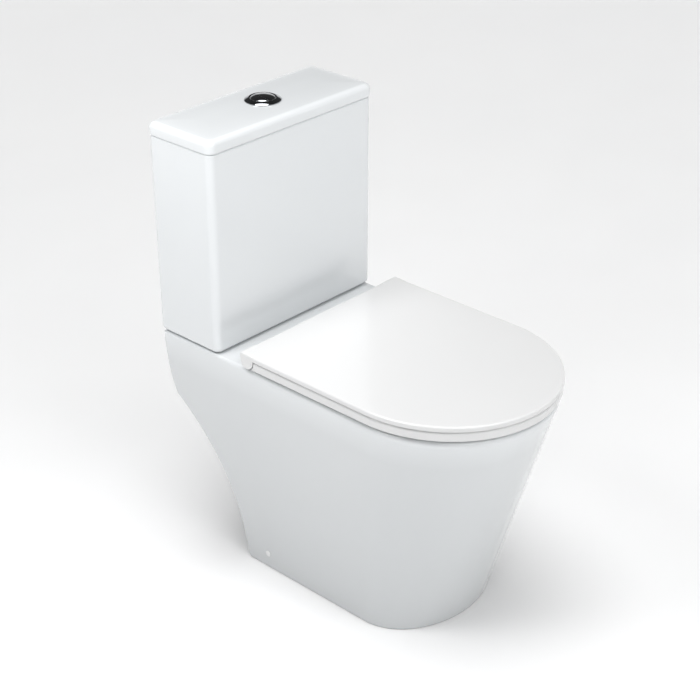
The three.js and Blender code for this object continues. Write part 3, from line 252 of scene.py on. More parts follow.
@dataclass(frozen=True)
class Glaze(Finish):
    """Fired white glaze: long soft waves under a hard gloss, with a few faint pinholes, and painted shade by
    height where asked for.

    Attributes:
        wave: noise scale of the waves.
        wave_height: their height in metres.
        pinholes: scale of the pattern of pinholes.
        depths: heights in metres and the share of the colour kept there, a painted shade by height, or
            nothing for an even colour.
    """

    wave: float = 22.0
    wave_height: float = 0.00012
    pinholes: float = 90.0
    depths: tuple[Flat, ...] = ()

    def _tinted(
        self,
        nodes: bpy.types.Nodes,
        links: bpy.types.NodeLinks,
        place: bpy.types.Node,
        colour: bpy.types.NodeSocket,
    ) -> bpy.types.NodeSocket:
        """Darkens the colour at some heights, as painted shade.

        Args:
            nodes: the material's nodes.
            links: the material's links.
            place: the texture coordinate node.
            colour: the colour so far.

        Returns:
            The socket that holds the colour.
        """
        if not self.depths:
            return colour
        # painted shade: the colour is multiplied by a ramp over the object's height
        split = nodes.new("ShaderNodeSeparateXYZ")
        links.new(place.outputs["Object"], split.inputs["Vector"])
        ramp = nodes.new("ShaderNodeValToRGB")
        stops = ramp.color_ramp.elements
        for position, _ in self.depths[1:-1]:
            stops.new(position)
        for stop, (_, level) in zip(stops, self.depths):
            stop.color = (level, level, level, 1.0)
        links.new(split.outputs["Z"], ramp.inputs["Fac"])
        mix = nodes.new("ShaderNodeMix")
        mix.data_type = "RGBA"
        mix.blend_type = "MULTIPLY"
        # the colour sockets of a mix node come after its number and vector sockets
        mix.inputs[0].default_value = 1.0
        links.new(colour, mix.inputs[6])
        links.new(ramp.outputs["Color"], mix.inputs[7])
        return mix.outputs[2]

    def _relief(
        self,
        nodes: bpy.types.Nodes,
        links: bpy.types.NodeLinks,
        place: bpy.types.Node,
        shader: bpy.types.Node,
    ) -> None:
        """Adds the glaze's slow waves, and pinholes over them.

        Args:
            nodes: the material's nodes.
            links: the material's links.
            place: the node whose vector the waves read.
            shader: the surface shader.
        """
        wave = self._noise(nodes, links, place, self.wave, 1.0)
        waves = nodes.new("ShaderNodeBump")
        waves.inputs["Distance"].default_value = self.wave_height
        links.new(wave.outputs["Fac"], waves.inputs["Height"])
        cells = nodes.new("ShaderNodeTexVoronoi")
        cells.inputs["Scale"].default_value = self.pinholes
        links.new(place.outputs["Vector"], cells.inputs["Vector"])
        hole = nodes.new("ShaderNodeMapRange")
        hole.inputs["From Min"].default_value = 0.0
        hole.inputs["From Max"].default_value = 0.035
        links.new(cells.outputs["Distance"], hole.inputs["Value"])
        holes = nodes.new("ShaderNodeBump")
        holes.inputs["Strength"].default_value = 0.4
        holes.inputs["Distance"].default_value = self.relief
        links.new(hole.outputs["Result"], holes.inputs["Height"])
        links.new(waves.outputs["Normal"], holes.inputs["Normal"])
        links.new(holes.outputs["Normal"], shader.inputs["Normal"])


GLAZE = Glaze(
    "glazed_ceramic", (0.765, 0.785, 0.797), (0.75, 0.772, 0.786), (0.07, 0.12),
    coat=0.5, patch=4.0, relief=0.00004,
)
# the same glaze with painted shade: darker low down, which offsets the light that the pale floor throws up at
# the pan
PAN_GLAZE_PAINTED_SHADE = Glaze(
    "pan_glaze", (0.765, 0.785, 0.797), (0.75, 0.772, 0.786), (0.07, 0.12),
    coat=0.5, patch=4.0, relief=0.00004, depths=((0.0, 0.75), (0.36, 0.885), (0.405, 1.0), (1.0, 1.0)),
)
SEAT_WHITE = Finish(
    "seat_plastic", (0.752, 0.752, 0.752), (0.742, 0.744, 0.745), (0.2, 0.27),
    coat=0.25, patch=5.0, grain=420.0, relief=0.00002,
)
CHROME = Finish(
    "bright_chrome", (0.5, 0.51, 0.52), (0.42, 0.43, 0.45), (0.03, 0.08),
    metal=1.0, patch=60.0, grain=500.0, relief=0.000004,
)
STEEL = Finish(
    "bright_steel", (0.62, 0.62, 0.61), (0.5, 0.5, 0.5), (0.24, 0.38),
    metal=1.0, patch=90.0, grain=700.0, relief=0.00002, stretch=(1.0, 1.0, 6.0),
)
BRASS = Finish(
    "plain_brass", (0.66, 0.47, 0.2), (0.5, 0.34, 0.14), (0.28, 0.42),
    metal=1.0, patch=80.0, grain=600.0, relief=0.00003,
)
WHITE_PLASTIC = Finish(
    "white_plastic", (0.78, 0.79, 0.78), (0.72, 0.73, 0.73), (0.38, 0.5),
    patch=40.0, grain=800.0, relief=0.00004,
)
BLUE_PLASTIC = Finish(
    "blue_plastic", (0.03, 0.15, 0.42), (0.024, 0.12, 0.36), (0.35, 0.48),
    patch=40.0, grain=800.0, relief=0.00004,
)
GREY_PLASTIC = Finish(
    "grey_plastic", (0.36, 0.38, 0.4), (0.31, 0.33, 0.35), (0.42, 0.55),
    patch=40.0, grain=800.0, relief=0.00004,
)
RUBBER = Finish(
    "black_rubber", (0.022, 0.023, 0.024), (0.035, 0.036, 0.037), (0.6, 0.8),
    patch=50.0, grain=1200.0, relief=0.00008,
)
SILICONE = Finish(
    "red_silicone", (0.5, 0.06, 0.06), (0.42, 0.045, 0.05), (0.4, 0.55),
    patch=50.0, grain=900.0, relief=0.00004,
)
FLOOR = Finish(
    "pale_floor", (0.95, 0.95, 0.95), (0.94, 0.942, 0.945), (0.6, 0.75),
    patch=1.5, grain=60.0, relief=0.00005,
)

SLOTS: dict[str, Finish] = {
    "glazed_ceramic": GLAZE,
    "seat_plastic": SEAT_WHITE,
    "chromed_plastic": CHROME,
    "chrome": CHROME,
    "steel": STEEL,
    "white_plastic": WHITE_PLASTIC,
    "blue_plastic": BLUE_PLASTIC,
    "grey_plastic": GREY_PLASTIC,
    "rubber": RUBBER,
    "seal": SILICONE,
    "brass": BRASS,
}
NODE_SLOT = {part["node"]: part["material_slot"] for part in frame["record"]["subparts"]}
NODE_BODY = {
    node: body for body, nodes in frame["record"]["behaviour"]["bodies"].items() for node in nodes
}


# ---------------------------------------------------------------- shaping


def loop_edges(bm: bmesh.types.BMesh, ring: Sequence[bmesh.types.BMVert]) -> list[bmesh.types.BMEdge]:
    """Returns the edges that run round a closed ring of vertices."""
    return [bm.edges.get((vert, ring[i - 1])) for i, vert in enumerate(ring)]


def turn_outwards(bm: bmesh.types.BMesh) -> None:
    """Merges doubles and points every face outwards."""
    bmesh.ops.remove_doubles(bm, verts=bm.verts, dist=1e-4)
    bmesh.ops.recalc_face_normals(bm, faces=bm.faces)


class Solid:
    """A closed shape that is being worked on, in millimetres."""

    def __init__(self, bm: bmesh.types.BMesh) -> None:
        """Takes over a mesh.

        Args:
            bm: the closed mesh, which is freed.
        """
        turn_outwards(bm)
        mesh = bpy.data.meshes.new("solid")
        bm.to_mesh(mesh)
        bm.free()
        self.object = bpy.data.objects.new("solid", mesh)
        bpy.context.scene.collection.objects.link(self.object)

    def _combine(self, operation: str, others: Iterable["Solid"]) -> "Solid":
        """Joins or cuts with other solids, which are used up.

        Args:
            operation: UNION or DIFFERENCE.
            others: the tools.

        Returns:
            This solid.
        """
        for other in others:
            step = self.object.modifiers.new("step", "BOOLEAN")
            step.operation = operation
            step.solver = "MANIFOLD"
            step.object = other.object
            self._apply()
            used = other.object.data
            bpy.data.objects.remove(other.object)
            bpy.data.meshes.remove(used)
        return self

    def _apply(self) -> None:
        """Bakes the modifiers into the mesh."""
        graph = bpy.context.evaluated_depsgraph_get()
        baked = bpy.data.meshes.new_from_object(self.object.evaluated_get(graph))
        old = self.object.data
        self.object.modifiers.clear()
        self.object.data = baked
        bpy.data.meshes.remove(old)

    def join(self, *others: "Solid") -> "Solid":
        """Adds other solids to this one, and returns it."""
        return self._combine("UNION", others)

    def cut(self, *others: "Solid") -> "Solid":
        """Takes other solids out of this one, and returns it."""
        return self._combine("DIFFERENCE", others)

    def become(
        self,
        name: str,
        nodes: Sequence[str],
        finish: Finish | None = None,
        edge: float = 0.0,
        sharp: float = 32.0,
        extra: bool = False,
    ) -> bpy.types.Object:
        """Finishes the solid as a piece of the toilet.

        Args:
            name: the piece's name.
            nodes: the CAD nodes it stands for; it rides with the first.
            finish: its finish, or None for that of its first node.
            edge: width of the rounding on its sharp edges.
            sharp: angle in degrees from which an edge shades as an edge.
            extra: True for a piece beside the nodes, which stay in view.

        Returns:
            The finished object.
        """
        bm = bmesh.new()
        bm.from_mesh(self.object.data)
        used = self.object.data
        bpy.data.objects.remove(self.object)
        bpy.data.meshes.remove(used)
        bmesh.ops.scale(bm, vec=(MM, MM, MM), verts=bm.verts)
        return finished(bm, name, nodes, finish, edge * MM, sharp, extra)


def finished(
    bm: bmesh.types.BMesh,
    name: str,
    nodes: Sequence[str],
    finish: Finish | None,
    edge: float,
    sharp: float,
    extra: bool = False,
) -> bpy.types.Object:
    """Makes a mesh in metres into a dressed piece.

    Args:
        bm: the mesh, which is freed.
        name: the piece's name.
        nodes: the CAD nodes it stands for; it rides with the first.
        finish: its finish, or None for that of its first node.
        edge: width of the rounding on its sharp edges, in metres.
        sharp: angle in degrees from which an edge shades as an edge.
        extra: True for a piece beside the nodes, which stay in view.

    Returns:
        The finished object.
    """
    bmesh.ops.dissolve_degenerate(bm, edges=bm.edges, dist=2e-6)
    if edge:
        bmesh.ops.dissolve_limit(bm, angle_limit=math.radians(0.5), verts=bm.verts, edges=bm.edges)
        keen = [e for e in bm.edges if e.calc_face_angle(0.0) > math.radians(40)]
        bmesh.ops.bevel(
            bm, geom=keen, offset=edge, offset_type="OFFSET", segments=2, profile=0.5,
            affect="EDGES", material=-1, clamp_overlap=True,
        )
    for bm_edge in bm.edges:
        bm_edge.smooth = bm_edge.calc_face_angle(0.0) < math.radians(sharp)
    for face in bm.faces:
        face.smooth = True
    mesh = bpy.data.meshes.new(name)
    bm.to_mesh(mesh)
    bm.free()
    piece = bpy.data.objects.new(name, mesh)
    bpy.context.scene.collection.objects.link(piece)
    even = piece.modifiers.new("even_shading", "WEIGHTED_NORMAL")
    even.keep_sharp = True
    slot = NODE_SLOT[nodes[0]]
    mesh.materials.append((finish or SLOTS[slot]).material())
    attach(piece, NODE_BODY[nodes[0]])
    if not extra:
        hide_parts(*nodes)
    log.info("%s: %d faces", name, len(mesh.polygons))
    return piece


def stack(rings: Sequence[Ring]) -> Solid:
    """Skins a row of rings that have the same number of points, and caps both ends.

    Args:
        rings: the rings, in order.

    Returns:
        The solid between them.
    """
    bm = bmesh.new()
    count = len(rings[0])
    first = list(bmesh.ops.create_circle(bm, cap_ends=False, segments=count, radius=1.0)["verts"])
    for vert, point in zip(first, rings[0]):
        vert.co = point
    ring = first
    for points in rings[1:]:
        made = bmesh.ops.extrude_edge_only(bm, edges=loop_edges(bm, ring))["geom"]
        fresh = {part for part in made if isinstance(part, bmesh.types.BMVert)}
        ring = [
            next(e.other_vert(vert) for e in vert.link_edges if e.other_vert(vert) in fresh)
            for vert in ring
        ]
        for vert, point in zip(ring, points):
            vert.co = point
    bmesh.ops.edgeloop_fill(bm, edges=loop_edges(bm, first))
    bmesh.ops.edgeloop_fill(bm, edges=loop_edges(bm, ring))
    return Solid(bm)


def turned(centre: Flat, profile: Sequence[Flat], steps: int = 64, closed: bool = False) -> Solid:
    """Turns a profile about an upright axis.

    Args:
        centre: the axis, in plan.
        profile: pairs of radius and height, from the axis and back to it.
        steps: faces round the axis.
        closed: whether the profile closes on itself, away from the axis.

    Returns:
        The turned solid.
    """
    bm = bmesh.new()
    verts = [bm.verts.new((centre[0] + radius, centre[1], height)) for radius, height in profile]
    ends = verts[1:] + (verts[:1] if closed else [])
    edges = [bm.edges.new(pair) for pair in zip(verts, ends)]
    bmesh.ops.spin(
        bm, geom=verts + edges, cent=(*centre, 0.0), axis=Axis.Z.value, angle=math.tau,
        steps=steps, use_merge=True,
    )
    return Solid(bm)


def rod(start: Point, end: Point, radius: float, segments: int = 32, top: float | None = None) -> Solid:
    """Makes a round bar or a cone between two points.

    Args:
        start: middle of its first end.
        end: middle of its other end.
        radius: radius at the start.
        segments: faces round it.
        top: radius at the end, if it differs.

    Returns:
        The bar.
    """
    low, high = Vector(start), Vector(end)
    along = high - low
    place = Matrix.Translation((low + high) / 2) @ along.to_track_quat("Z", "Y").to_matrix().to_4x4()
    bm = bmesh.new()
    bmesh.ops.create_cone(
        bm, cap_ends=True, segments=segments, radius1=radius,
        radius2=radius if top is None else top, depth=along.length, matrix=place,
    )
    return Solid(bm)


def block(low: Point, high: Point, edge: float = 0.0) -> Solid:
    """Makes a box between two corners.

    Args:
        low: its lowest corner.
        high: its highest corner.
        edge: radius of its rounded edges.

    Returns:
        The box.
    """
    bm = bmesh.new()
    size = Vector(high) - Vector(low)
    middle = (Vector(high) + Vector(low)) / 2
    place = Matrix.Translation(middle) @ Matrix.Diagonal((*size, 1.0))
    bmesh.ops.create_cube(bm, size=1.0, matrix=place)
    if edge:
        bmesh.ops.bevel(
            bm, geom=list(bm.edges), offset=edge, offset_type="OFFSET", segments=3, profile=0.5,
            affect="EDGES", material=-1,
        )
    return Solid(bm)


def prism(profile: Sequence[Flat], start: float, end: float, edge: float = 0.0) -> Solid:
    """Runs a profile in Y and Z along X.

    Args:
        profile: its points in Y and Z.
        start: first X.
        end: last X.
        edge: how much its ends are drawn in, for a soft end.

    Returns:
        The bar.
    """
    ys = [y for y, _ in profile]
    zs = [z for _, z in profile]
    mid_y, mid_z = (min(ys) + max(ys)) / 2, (min(zs) + max(zs)) / 2
    half = max(max(ys) - min(ys), max(zs) - min(zs)) / 2

    def ring(x: float, inset: float) -> Ring:
        """The profile at one X, drawn in by inset."""
        share = 1 - inset / half
        return [(x, mid_y + (y - mid_y) * share, mid_z + (z - mid_z) * share) for y, z in profile]

    if not edge:
        return stack([ring(start, 0), ring(end, 0)])
    turns = (0.0, 0.52, 1.05, math.pi / 2)
    soft = [(edge * (1 - math.cos(a)), edge * (1 - math.sin(a))) for a in turns]
    rings = [ring(start + along, inset) for along, inset in soft]
    rings += [ring(end - along, inset) for along, inset in reversed(soft)]
    return stack(rings)


def pipe(points: Sequence[Point], radius: float | Sequence[float], segments: int = 24) -> Solid:
    """Runs a round section along a path.

    Args:
        points: the path.
        radius: the section's radius, or one for each point.
        segments: faces round it.

    Returns:
        The pipe.
    """
    path = [Vector(point) for point in points]
    radii = [radius] * len(path) if isinstance(radius, (int, float)) else list(radius)
    rings: list[Ring] = []
    start = path[1] - path[0]
    # the section's first side must not lie along the path
    side = Vector(Axis.X.value if abs(start.x) < 0.7 * start.length else Axis.Y.value)
    for i, point in enumerate(path):
        ahead = (path[min(i + 1, len(path) - 1)] - path[max(i - 1, 0)]).normalized()
        side = (side - ahead * side.dot(ahead)).normalized()
        other = ahead.cross(side)
        rings.append([
            tuple(point + radii[i] * (math.cos(a) * side + math.sin(a) * other))
            for a in (math.tau * k / segments for k in range(segments))
        ])
    return stack(rings)


def arc(centre: Flat, radii: Flat, start: float, end: float, steps: int) -> list[Flat]:
    """Points along part of an ellipse, both ends included.

    Args:
        centre: the ellipse's middle.
        radii: its half axes.
        start: first angle in degrees.
        end: last angle in degrees.
        steps: number of chords.

    Returns:
        The points.
    """
    angles = [math.radians(start + (end - start) * i / steps) for i in range(steps + 1)]
    return [(centre[0] + radii[0] * math.cos(a), centre[1] + radii[1] * math.sin(a)) for a in angles]


def d_outline(half: float, back: float, nose_y: float, nose: float, corner: float) -> list[Flat]:
    """A D in plan, round at the front and square at the back, always with the same number of points.

    Args:
        half: half its width.
        back: Y of its back.
        nose_y: Y where its straight sides end.
        nose: length of its round front.
        corner: radius of its back corners.

    Returns:
        The outline.
    """
    sides = [(nose_y + (back - corner - nose_y) * i / 16) for i in range(1, 16)]
    across = [half - corner - 2 * (half - corner) * i / 18 for i in range(1, 18)]
    return [
        *arc((0, nose_y), (half, nose), 180, 360, 84),
        *[(half, y) for y in sides],
        *arc((half - corner, back - corner), (corner, corner), 0, 90, 6),
        *[(x, back) for x in across],
        *arc((corner - half, back - corner), (corner, corner), 90, 180, 6),
        *[(-half, y) for y in reversed(sides)],
    ]


def rounded_rectangle(
    width: float, depth: float, front: float, back: float, middle: Flat = (0.0, 0.0)
) -> list[Flat]:
    """A rectangle in plan with round corners.

    Args:
        width: its size along X.
        depth: its size along Y.
        front: radius of its front corners.
        back: radius of its back corners.
        middle: its middle.

    Returns:
        The outline.
    """
    points: list[Flat] = []
    right, rear = width / 2, depth / 2
    turns = [(1, 1, back), (-1, 1, back), (-1, -1, front), (1, -1, front)]
    ends = [(back - right, rear), (-right, front - rear), (right - front, -rear), (right, rear - back)]
    for i, (along, across, corner) in enumerate(turns):
        centre = (along * (right - corner), across * (rear - corner))
        points += arc(centre, (corner, corner), 90 * i, 90 * (i + 1), 9)
        last, following = points[-1], ends[i]
        points += [
            (last[0] + (following[0] - last[0]) * k / 16, last[1] + (following[1] - last[1]) * k / 16)
            for k in range(1, 16)
        ]
    return [(px + middle[0], py + middle[1]) for px, py in points]


def egg(middle: Flat, half: float, reach: Flat, z: float) -> Ring:
    """An egg-shaped ring, with its own reach to the front and the back.

    Args:
        middle: its middle, in plan.
        half: half its width.
        reach: how far it goes to the front and to the back of its middle.
        z: its height.

    Returns:
        The ring.
    """
    count = 96
    ring: Ring = []
    for i in range(count):
        turn = math.tau * i / count
        length = reach[0] if math.sin(turn) < 0 else reach[1]
        ring.append((middle[0] + half * math.cos(turn), middle[1] + math.sin(turn) * length, z))
    return ring


def at_height(outline: Iterable[Flat], z: float) -> Ring:
    """Lifts an outline to a height."""
    return [(x, y, z) for x, y in outline]


def rounding(top: float, radius: float, steps: int = 8) -> list[Flat]:
    """Pairs of height and inset over a quarter-round edge, from its side to its top."""
    angles = [math.pi / 2 * i / steps for i in range(steps + 1)]
    return [(top - radius + radius * math.sin(a), radius * (1 - math.cos(a))) for a in angles]


def between(start: float, end: float, share: float) -> float:
    """The value at that share of the way from start to end."""
    return start + (end - start) * share


def softened(node: str, edge: float) -> None:
    """Replaces a CAD node by a copy with rounded edges and smooth round faces.

    Args:
        node: the CAD node.
        edge: width of the rounding.
    """
    bm = bmesh.new()
    bm.from_mesh(frame["nodes"][node].data)
    bmesh.ops.remove_doubles(bm, verts=bm.verts, dist=1e-6)
    finished(bm, f"{node}_fine", [node], None, edge * MM, 38.0)


# ---------------------------------------------------------------- pan


@dataclass
class Pan:
    """The skirted ceramic pan, with its bowl, trap and outlet.

    Attributes:
        height: of its rim and shelf above the floor.
        back: Y of the shelf's back.
        front: Y of the rim's front.
        rim_half: half the rim's width.
        rim_nose_y: Y where the rim's straight sides end.
        rim_nose: length of the rim's round front.
        foot_half: half the foot's width.
        foot_nose_y: Y where the foot's straight sides end.
        foot_nose: length of the foot's round front.
        wall: thickness of the skirt and bowl.
        shelf_under: height of the shelf's underside.
        rim_round: radius of the rim's edge.
        shelf_round: radius of the shelf's edge.
        tail_y: Y of the back, low down.
        tail_hollow: how far the hollow back sweeps.
        bowl_y: Y of the deepest point of the bowl.
        sump_z: height of that point.
        throat_z: height where the sump opens into the bowl.
        trap_bore: radius inside the trapway.
        trap_outside: radius outside it.
        outlet_z: height of the outlet's middle.
        outlet_end: Y of the outlet's mouth.
        outlet_radius: radius of the outlet spigot.
        outlet_bore: radius inside it.
        screw_hole: radius of the holes for the side screws.
        tail: the line of the back, as pairs of height and Y.
    """

    height: float = PAN_TOP
    back: float = 326.0
    front: float = -323.0
    rim_half: float = 182.5
    rim_nose_y: float = -132.0
    rim_nose: float = 191.0
    foot_half: float = 138.0
    foot_nose_y: float = -92.0
    foot_nose: float = 104.0
    wall: float = 13.0
    shelf_under: float = 393.0
    rim_round: float = 13.0
    shelf_round: float = 5.0
    tail_y: float = 187.0
    tail_hollow: float = 355.0
    bowl_y: float = 20.0
    sump_z: float = 95.0
    throat_z: float = 175.0
    trap_bore: float = 27.0
    trap_outside: float = 37.0
    outlet_z: float = 185.0
    outlet_end: float = 262.0
    outlet_radius: float = 51.0
    outlet_bore: float = 42.0
    screw_hole: float = 5.5
    tail: list[Flat] = field(default_factory=list)

    def __post_init__(self) -> None:
        """Works out the line of the pan's back."""
        heel = self.height - 88
        below = heel - 34
        rise = self.height - 60

        def hollow(z: float) -> float:
            """Y of the hollow back at a height."""
            return self.tail_y + self.tail_hollow * (1 - math.sqrt(1 - ((z - 20) / rise) ** 2))

        self.tail = [(0.0, self.tail_y - 7), (2.0, self.tail_y - 3.5), (5.0, self.tail_y - 1.5)]
        self.tail += [(z, hollow(z)) for z in (below * i / 18 for i in range(1, 19))]
        for i in range(1, 13):
            t = i / 12
            y = (1 - t) ** 2 * hollow(below) + 2 * t * (1 - t) * self.back + t**2 * self.back
            z = (1 - t) ** 2 * below + 2 * t * (1 - t) * (heel - 4) + t**2 * (heel + 34)
            self.tail.append((z, y))
        self.tail.append((self.height, self.back))

    def back_at(self, z: float) -> float:
        """Finds the pan's back.

        Args:
            z: a height.

        Returns:
            Y of the back there.
        """
        for (z0, y0), (z1, y1) in zip(self.tail, self.tail[1:]):
            if z <= z1:
                return between(y0, y1, (z - z0) / (z1 - z0))
        return self.back

    def outline(self, z: float, inset: float = 0.0, back: float | None = None) -> list[Flat]:
        """The pan's wall at a height.

        Args:
            z: the height.
            inset: how far inside the outer face.
            back: Y of its back, if not that of the pan's back line.

        Returns:
            The outline.
        """
        share = z / self.height
        half = between(self.foot_half, self.rim_half, share) - inset
        nose_y = between(self.foot_nose_y, self.rim_nose_y, share)
        nose = between(self.foot_nose, self.rim_nose, share) - inset
        return d_outline(half, self.back_at(z) if back is None else back, nose_y, nose, 6.0)

    def outside(self) -> Solid:
        """Makes the pan as a block, with its rounded rim and shelf.

        Returns:
            The block.
        """
        heights = sorted({z for z, _ in self.tail if z < self.height - self.rim_round - 1})
        rings = [at_height(self.outline(0.0, 2.0), 0.0), at_height(self.outline(1.0, 0.6), 0.9)]
        rings += [at_height(self.outline(z), z) for z in heights if z > 1]
        for z, inset in rounding(self.height, self.rim_round, 10):
            ring: Ring = []
            flush = self.outline(z)
            drawn = self.outline(z, inset, self.back - inset)
            for (x0, y0), (x1, y1) in zip(flush, drawn):
                share = min(max((186.0 - y0) / 90, 0.0), 1.0)
                depth = between(self.shelf_round / self.rim_round, 1.0, share)
                level = self.height - (self.height - z) * depth
                ring.append((between(x0, x1, depth), between(y0, y1, depth), level))
            rings.append(ring)
        return stack(rings)

    def bowl(self, grow: float, lip: float = 0.0) -> Solid:
        """Makes the bowl's inside.

        Args:
            grow: how much it is grown, for its outside.
            lip: radius of its rounded top edge.

        Returns:
            The solid inside the bowl.
        """
        rim_front = self.bowl_y - (self.front + 40)
        sump = (45.0, 55.0, 38.0)
        top = (134.0, rim_front, 52.0)

        def ring(z: float, sizes: Point, more: float = 0.0) -> Ring:
            """Makes an egg-shaped ring.

            Args:
                z: its height.
                sizes: half its width, and its reach to the front and the back.
                more: how much it is grown beyond the rest of the bowl.

            Returns:
                The ring.
            """
            half, ahead, behind = (size + grow + more for size in sizes)
            return egg((0.0, self.bowl_y), half, (ahead, behind), z)

        rings: list[Ring] = []
        for share in (0.004, 0.03, 0.08, 0.16, 0.28, 0.42, 0.58, 0.76):
            wide = math.sqrt(1 - (1 - share) ** 2)
            z = self.sump_z - grow + share * (self.throat_z - self.sump_z)
            rings.append(ring(z, tuple(size * wide for size in sump)))
        last = self.height - (lip or -1)
        for i in range(17):
            spread = math.sin(i / 16 * math.pi / 2)
            sizes = tuple(between(low, high, spread) for low, high in zip(sump, top))
            rings.append(ring(between(self.throat_z, last, i / 16), sizes))
        if lip:
            for turn in (0.3, 0.6, 0.9, 1.2, 1.5):
                rings.append(ring(last + lip * math.sin(turn), top, lip * (1 - math.cos(turn))))
            rings.append(ring(self.height + 4, top, lip + 0.4))
        return stack(rings)

    def trap_path(self) -> list[Point]:
        """Works out the trapway, from the sump over the weir to the outlet.

        Returns:
            The points of its middle line.
        """
        turn, climb, fall, weir = 43.0, math.radians(65), math.radians(50), 238.0
        start = self.sump_z + 29
        rise = (weir - start - 2 * turn * (1 - math.cos(climb))) / math.sin(climb)
        drop = (weir - self.outlet_z - 2 * turn * (1 - math.cos(fall))) / math.sin(fall)
        moves = [(30.0, 0.0), (0.0, climb), (rise, 0.0), (0.0, -climb - fall), (drop, 0.0), (0.0, fall)]
        y, z, heading = self.bowl_y, start, 0.0
        points = [(0.0, y, z)]
        for length, bend in moves:
            steps = 9 if bend else 4
            for _ in range(steps):
                chord = 2 * turn * math.sin(abs(bend) / steps / 2) if bend else length / steps
                heading += bend / steps / 2
                y += chord * math.cos(heading)
                z += chord * math.sin(heading)
                heading += bend / steps / 2
                points.append((0.0, y, z))
        return points

    def outlet(self, start: float, end: float, radius: float) -> Solid:
        """A rod along the outlet, between two Ys."""
        return rod((0, start, self.outlet_z), (0, end, self.outlet_z), radius, 72)

    def room(self) -> Solid:
        """Makes the hollow inside the skirt, around the bowl, trap and water way.

        Returns:
            The hollow.
        """
        rings = []
        for z in (-1.0, 0.0, 60.0, 130.0, 200.0, 260.0, 320.0, self.shelf_under - 8):
            rings.append(at_height(self.outline(max(z, 0.0), self.wall, self.back + 30), z))
        for z, inset in rounding(self.shelf_under, 8.0, 5)[1:]:
            rings.append(at_height(self.outline(z, self.wall + inset, self.back + 30), z))
        duct_low, duct_high = 343, self.shelf_under + 4
        duct = block((-44, 60, duct_low), (44, CISTERN_Y, duct_high), 9)
        boss = rod((0, CISTERN_Y, duct_low), (0, CISTERN_Y, duct_high), 57, 64)
        spigot = self.outlet(202, self.outlet_end + 30, self.outlet_radius)
        above = block((-400, -400, self.shelf_under + 6), (400, 400, 600))
        bowl = self.bowl(self.wall).cut(above)
        inner = bowl.join(pipe(self.trap_path(), self.trap_outside, 48), spigot, duct, boss)
        return stack(rings).cut(inner)

    def build(self) -> None:
        """Builds and dresses the pan."""
        radius = self.outlet_radius
        spigot = turned((0, 0), [
            (0, 0), (radius - 2, 0), (radius, 2), (radius, 22), (radius + 0.8, 24), (radius, 26),
            (radius, 60), (0, 60),
        ], 72)
        # stood up along Z, then laid along Y with its mouth at the back
        lay = Matrix.Translation((0, self.outlet_end, self.outlet_z)) @ Matrix.Rotation(math.pi / 2, 4, "X")
        spigot.object.data.transform(lay)
        under, over = 385, self.height + 5
        bores = [
            self.bowl(0.0, lip=7.0),
            pipe(self.trap_path(), self.trap_bore, 48),
            self.outlet(212, self.outlet_end + 5, self.outlet_bore),
            block((-33, 60, 354), (33, CISTERN_Y + 33, 382), 6),
            rod((0, CISTERN_Y, 388), (0, CISTERN_Y, over), 48, 72),
            rod((0, CISTERN_Y, 368), (0, CISTERN_Y, 400), 33, 64),
            rod((FILL_X, CISTERN_Y, under), (FILL_X, CISTERN_Y, over), 24, 48),
            rod((-200, SCREW_Y, SCREW_Z), (200, SCREW_Y, SCREW_Z), self.screw_hole, 32),
        ]
        for side in Side:
            for x, y in ((COUPLING_X, CISTERN_Y), (STUD_X, STUD_Y)):
                bores.append(rod((side.value * x, y, under), (side.value * x, y, over), BOLT_HOLE))
        # the pan takes the glaze with painted shade low down
        self.outside().cut(self.room()).join(spigot).cut(*bores).become("pan_fine", ["pan"], PAN_GLAZE_PAINTED_SHADE)


# ---------------------------------------------------------------- floor fixings


@dataclass
class FloorFixing:
    """A bracket inside the foot, and the capped screw that holds the pan to it.

    Attributes:
        side: the side it is on.
        skirt: X of the skirt's face at the screw.
        recess: how deep the screw's head sits in the skirt.
        length: of the screw.
    """

    side: Side
    skirt: float = 141.43
    recess: float = 3.0
    length: float = 30.0

    def build(self) -> None:
        """Builds and dresses the bracket, screw and cap."""
        word, way = self.side.word, self.side.value
        softened(f"floor_bracket_{word}", 0.8)
        head = self.skirt - self.recess
        half_pitch, point, ridges = 0.75, [0.6, 1.2, 1.8], 34
        radii = point + [2.9 if i % 2 else 2.35 for i in range(ridges)]
        steps = range(len(radii))
        shank = [(way * (head - self.length + i * half_pitch), SCREW_Y, SCREW_Z) for i in steps]
        screw = pipe(shank, radii, 20)
        pan_head = turned((0, 0), [(0, 0), (4.2, 0), (4.8, 0.5), (4.8, 2.2), (4.0, 3.0), (0, 3.2)], 32)
        pan_head.cut(block((-6, -0.5, 1.9), (6, 0.5, 4)).join(block((-0.5, -6, 1.9), (0.5, 6, 4))))
        self._lay(pan_head, head - 3.4)
        screw.join(pan_head).become(f"side_screw_{word}_fine", [f"side_screw_{word}"])
        cap = turned((0, 0), [
            (0, 0), (5.2, 0), (5.2, 2.9), (5.8, 3.1), (5.7, 3.5), (4.8, 4.0), (2.6, 4.3), (0, 4.4),
        ], 40)
        self._lay(cap, head + GAP)
        cap.become(f"side_screw_cap_{word}_fine", [f"side_screw_cap_{word}"])

    def _lay(self, shape: Solid, x: float) -> None:
        """Lays an upright shape along the screw, facing outwards.

        Args:
            shape: the shape, whose foot is at the origin.
            x: how far from the toilet's middle its foot comes.
        """
        way = self.side.value
        lay = Matrix.Rotation(way * math.pi / 2, 4, "Y")
        shape.object.data.transform(Matrix.Translation((way * x, SCREW_Y, SCREW_Z)) @ lay)


# ---------------------------------------------------------------- cistern


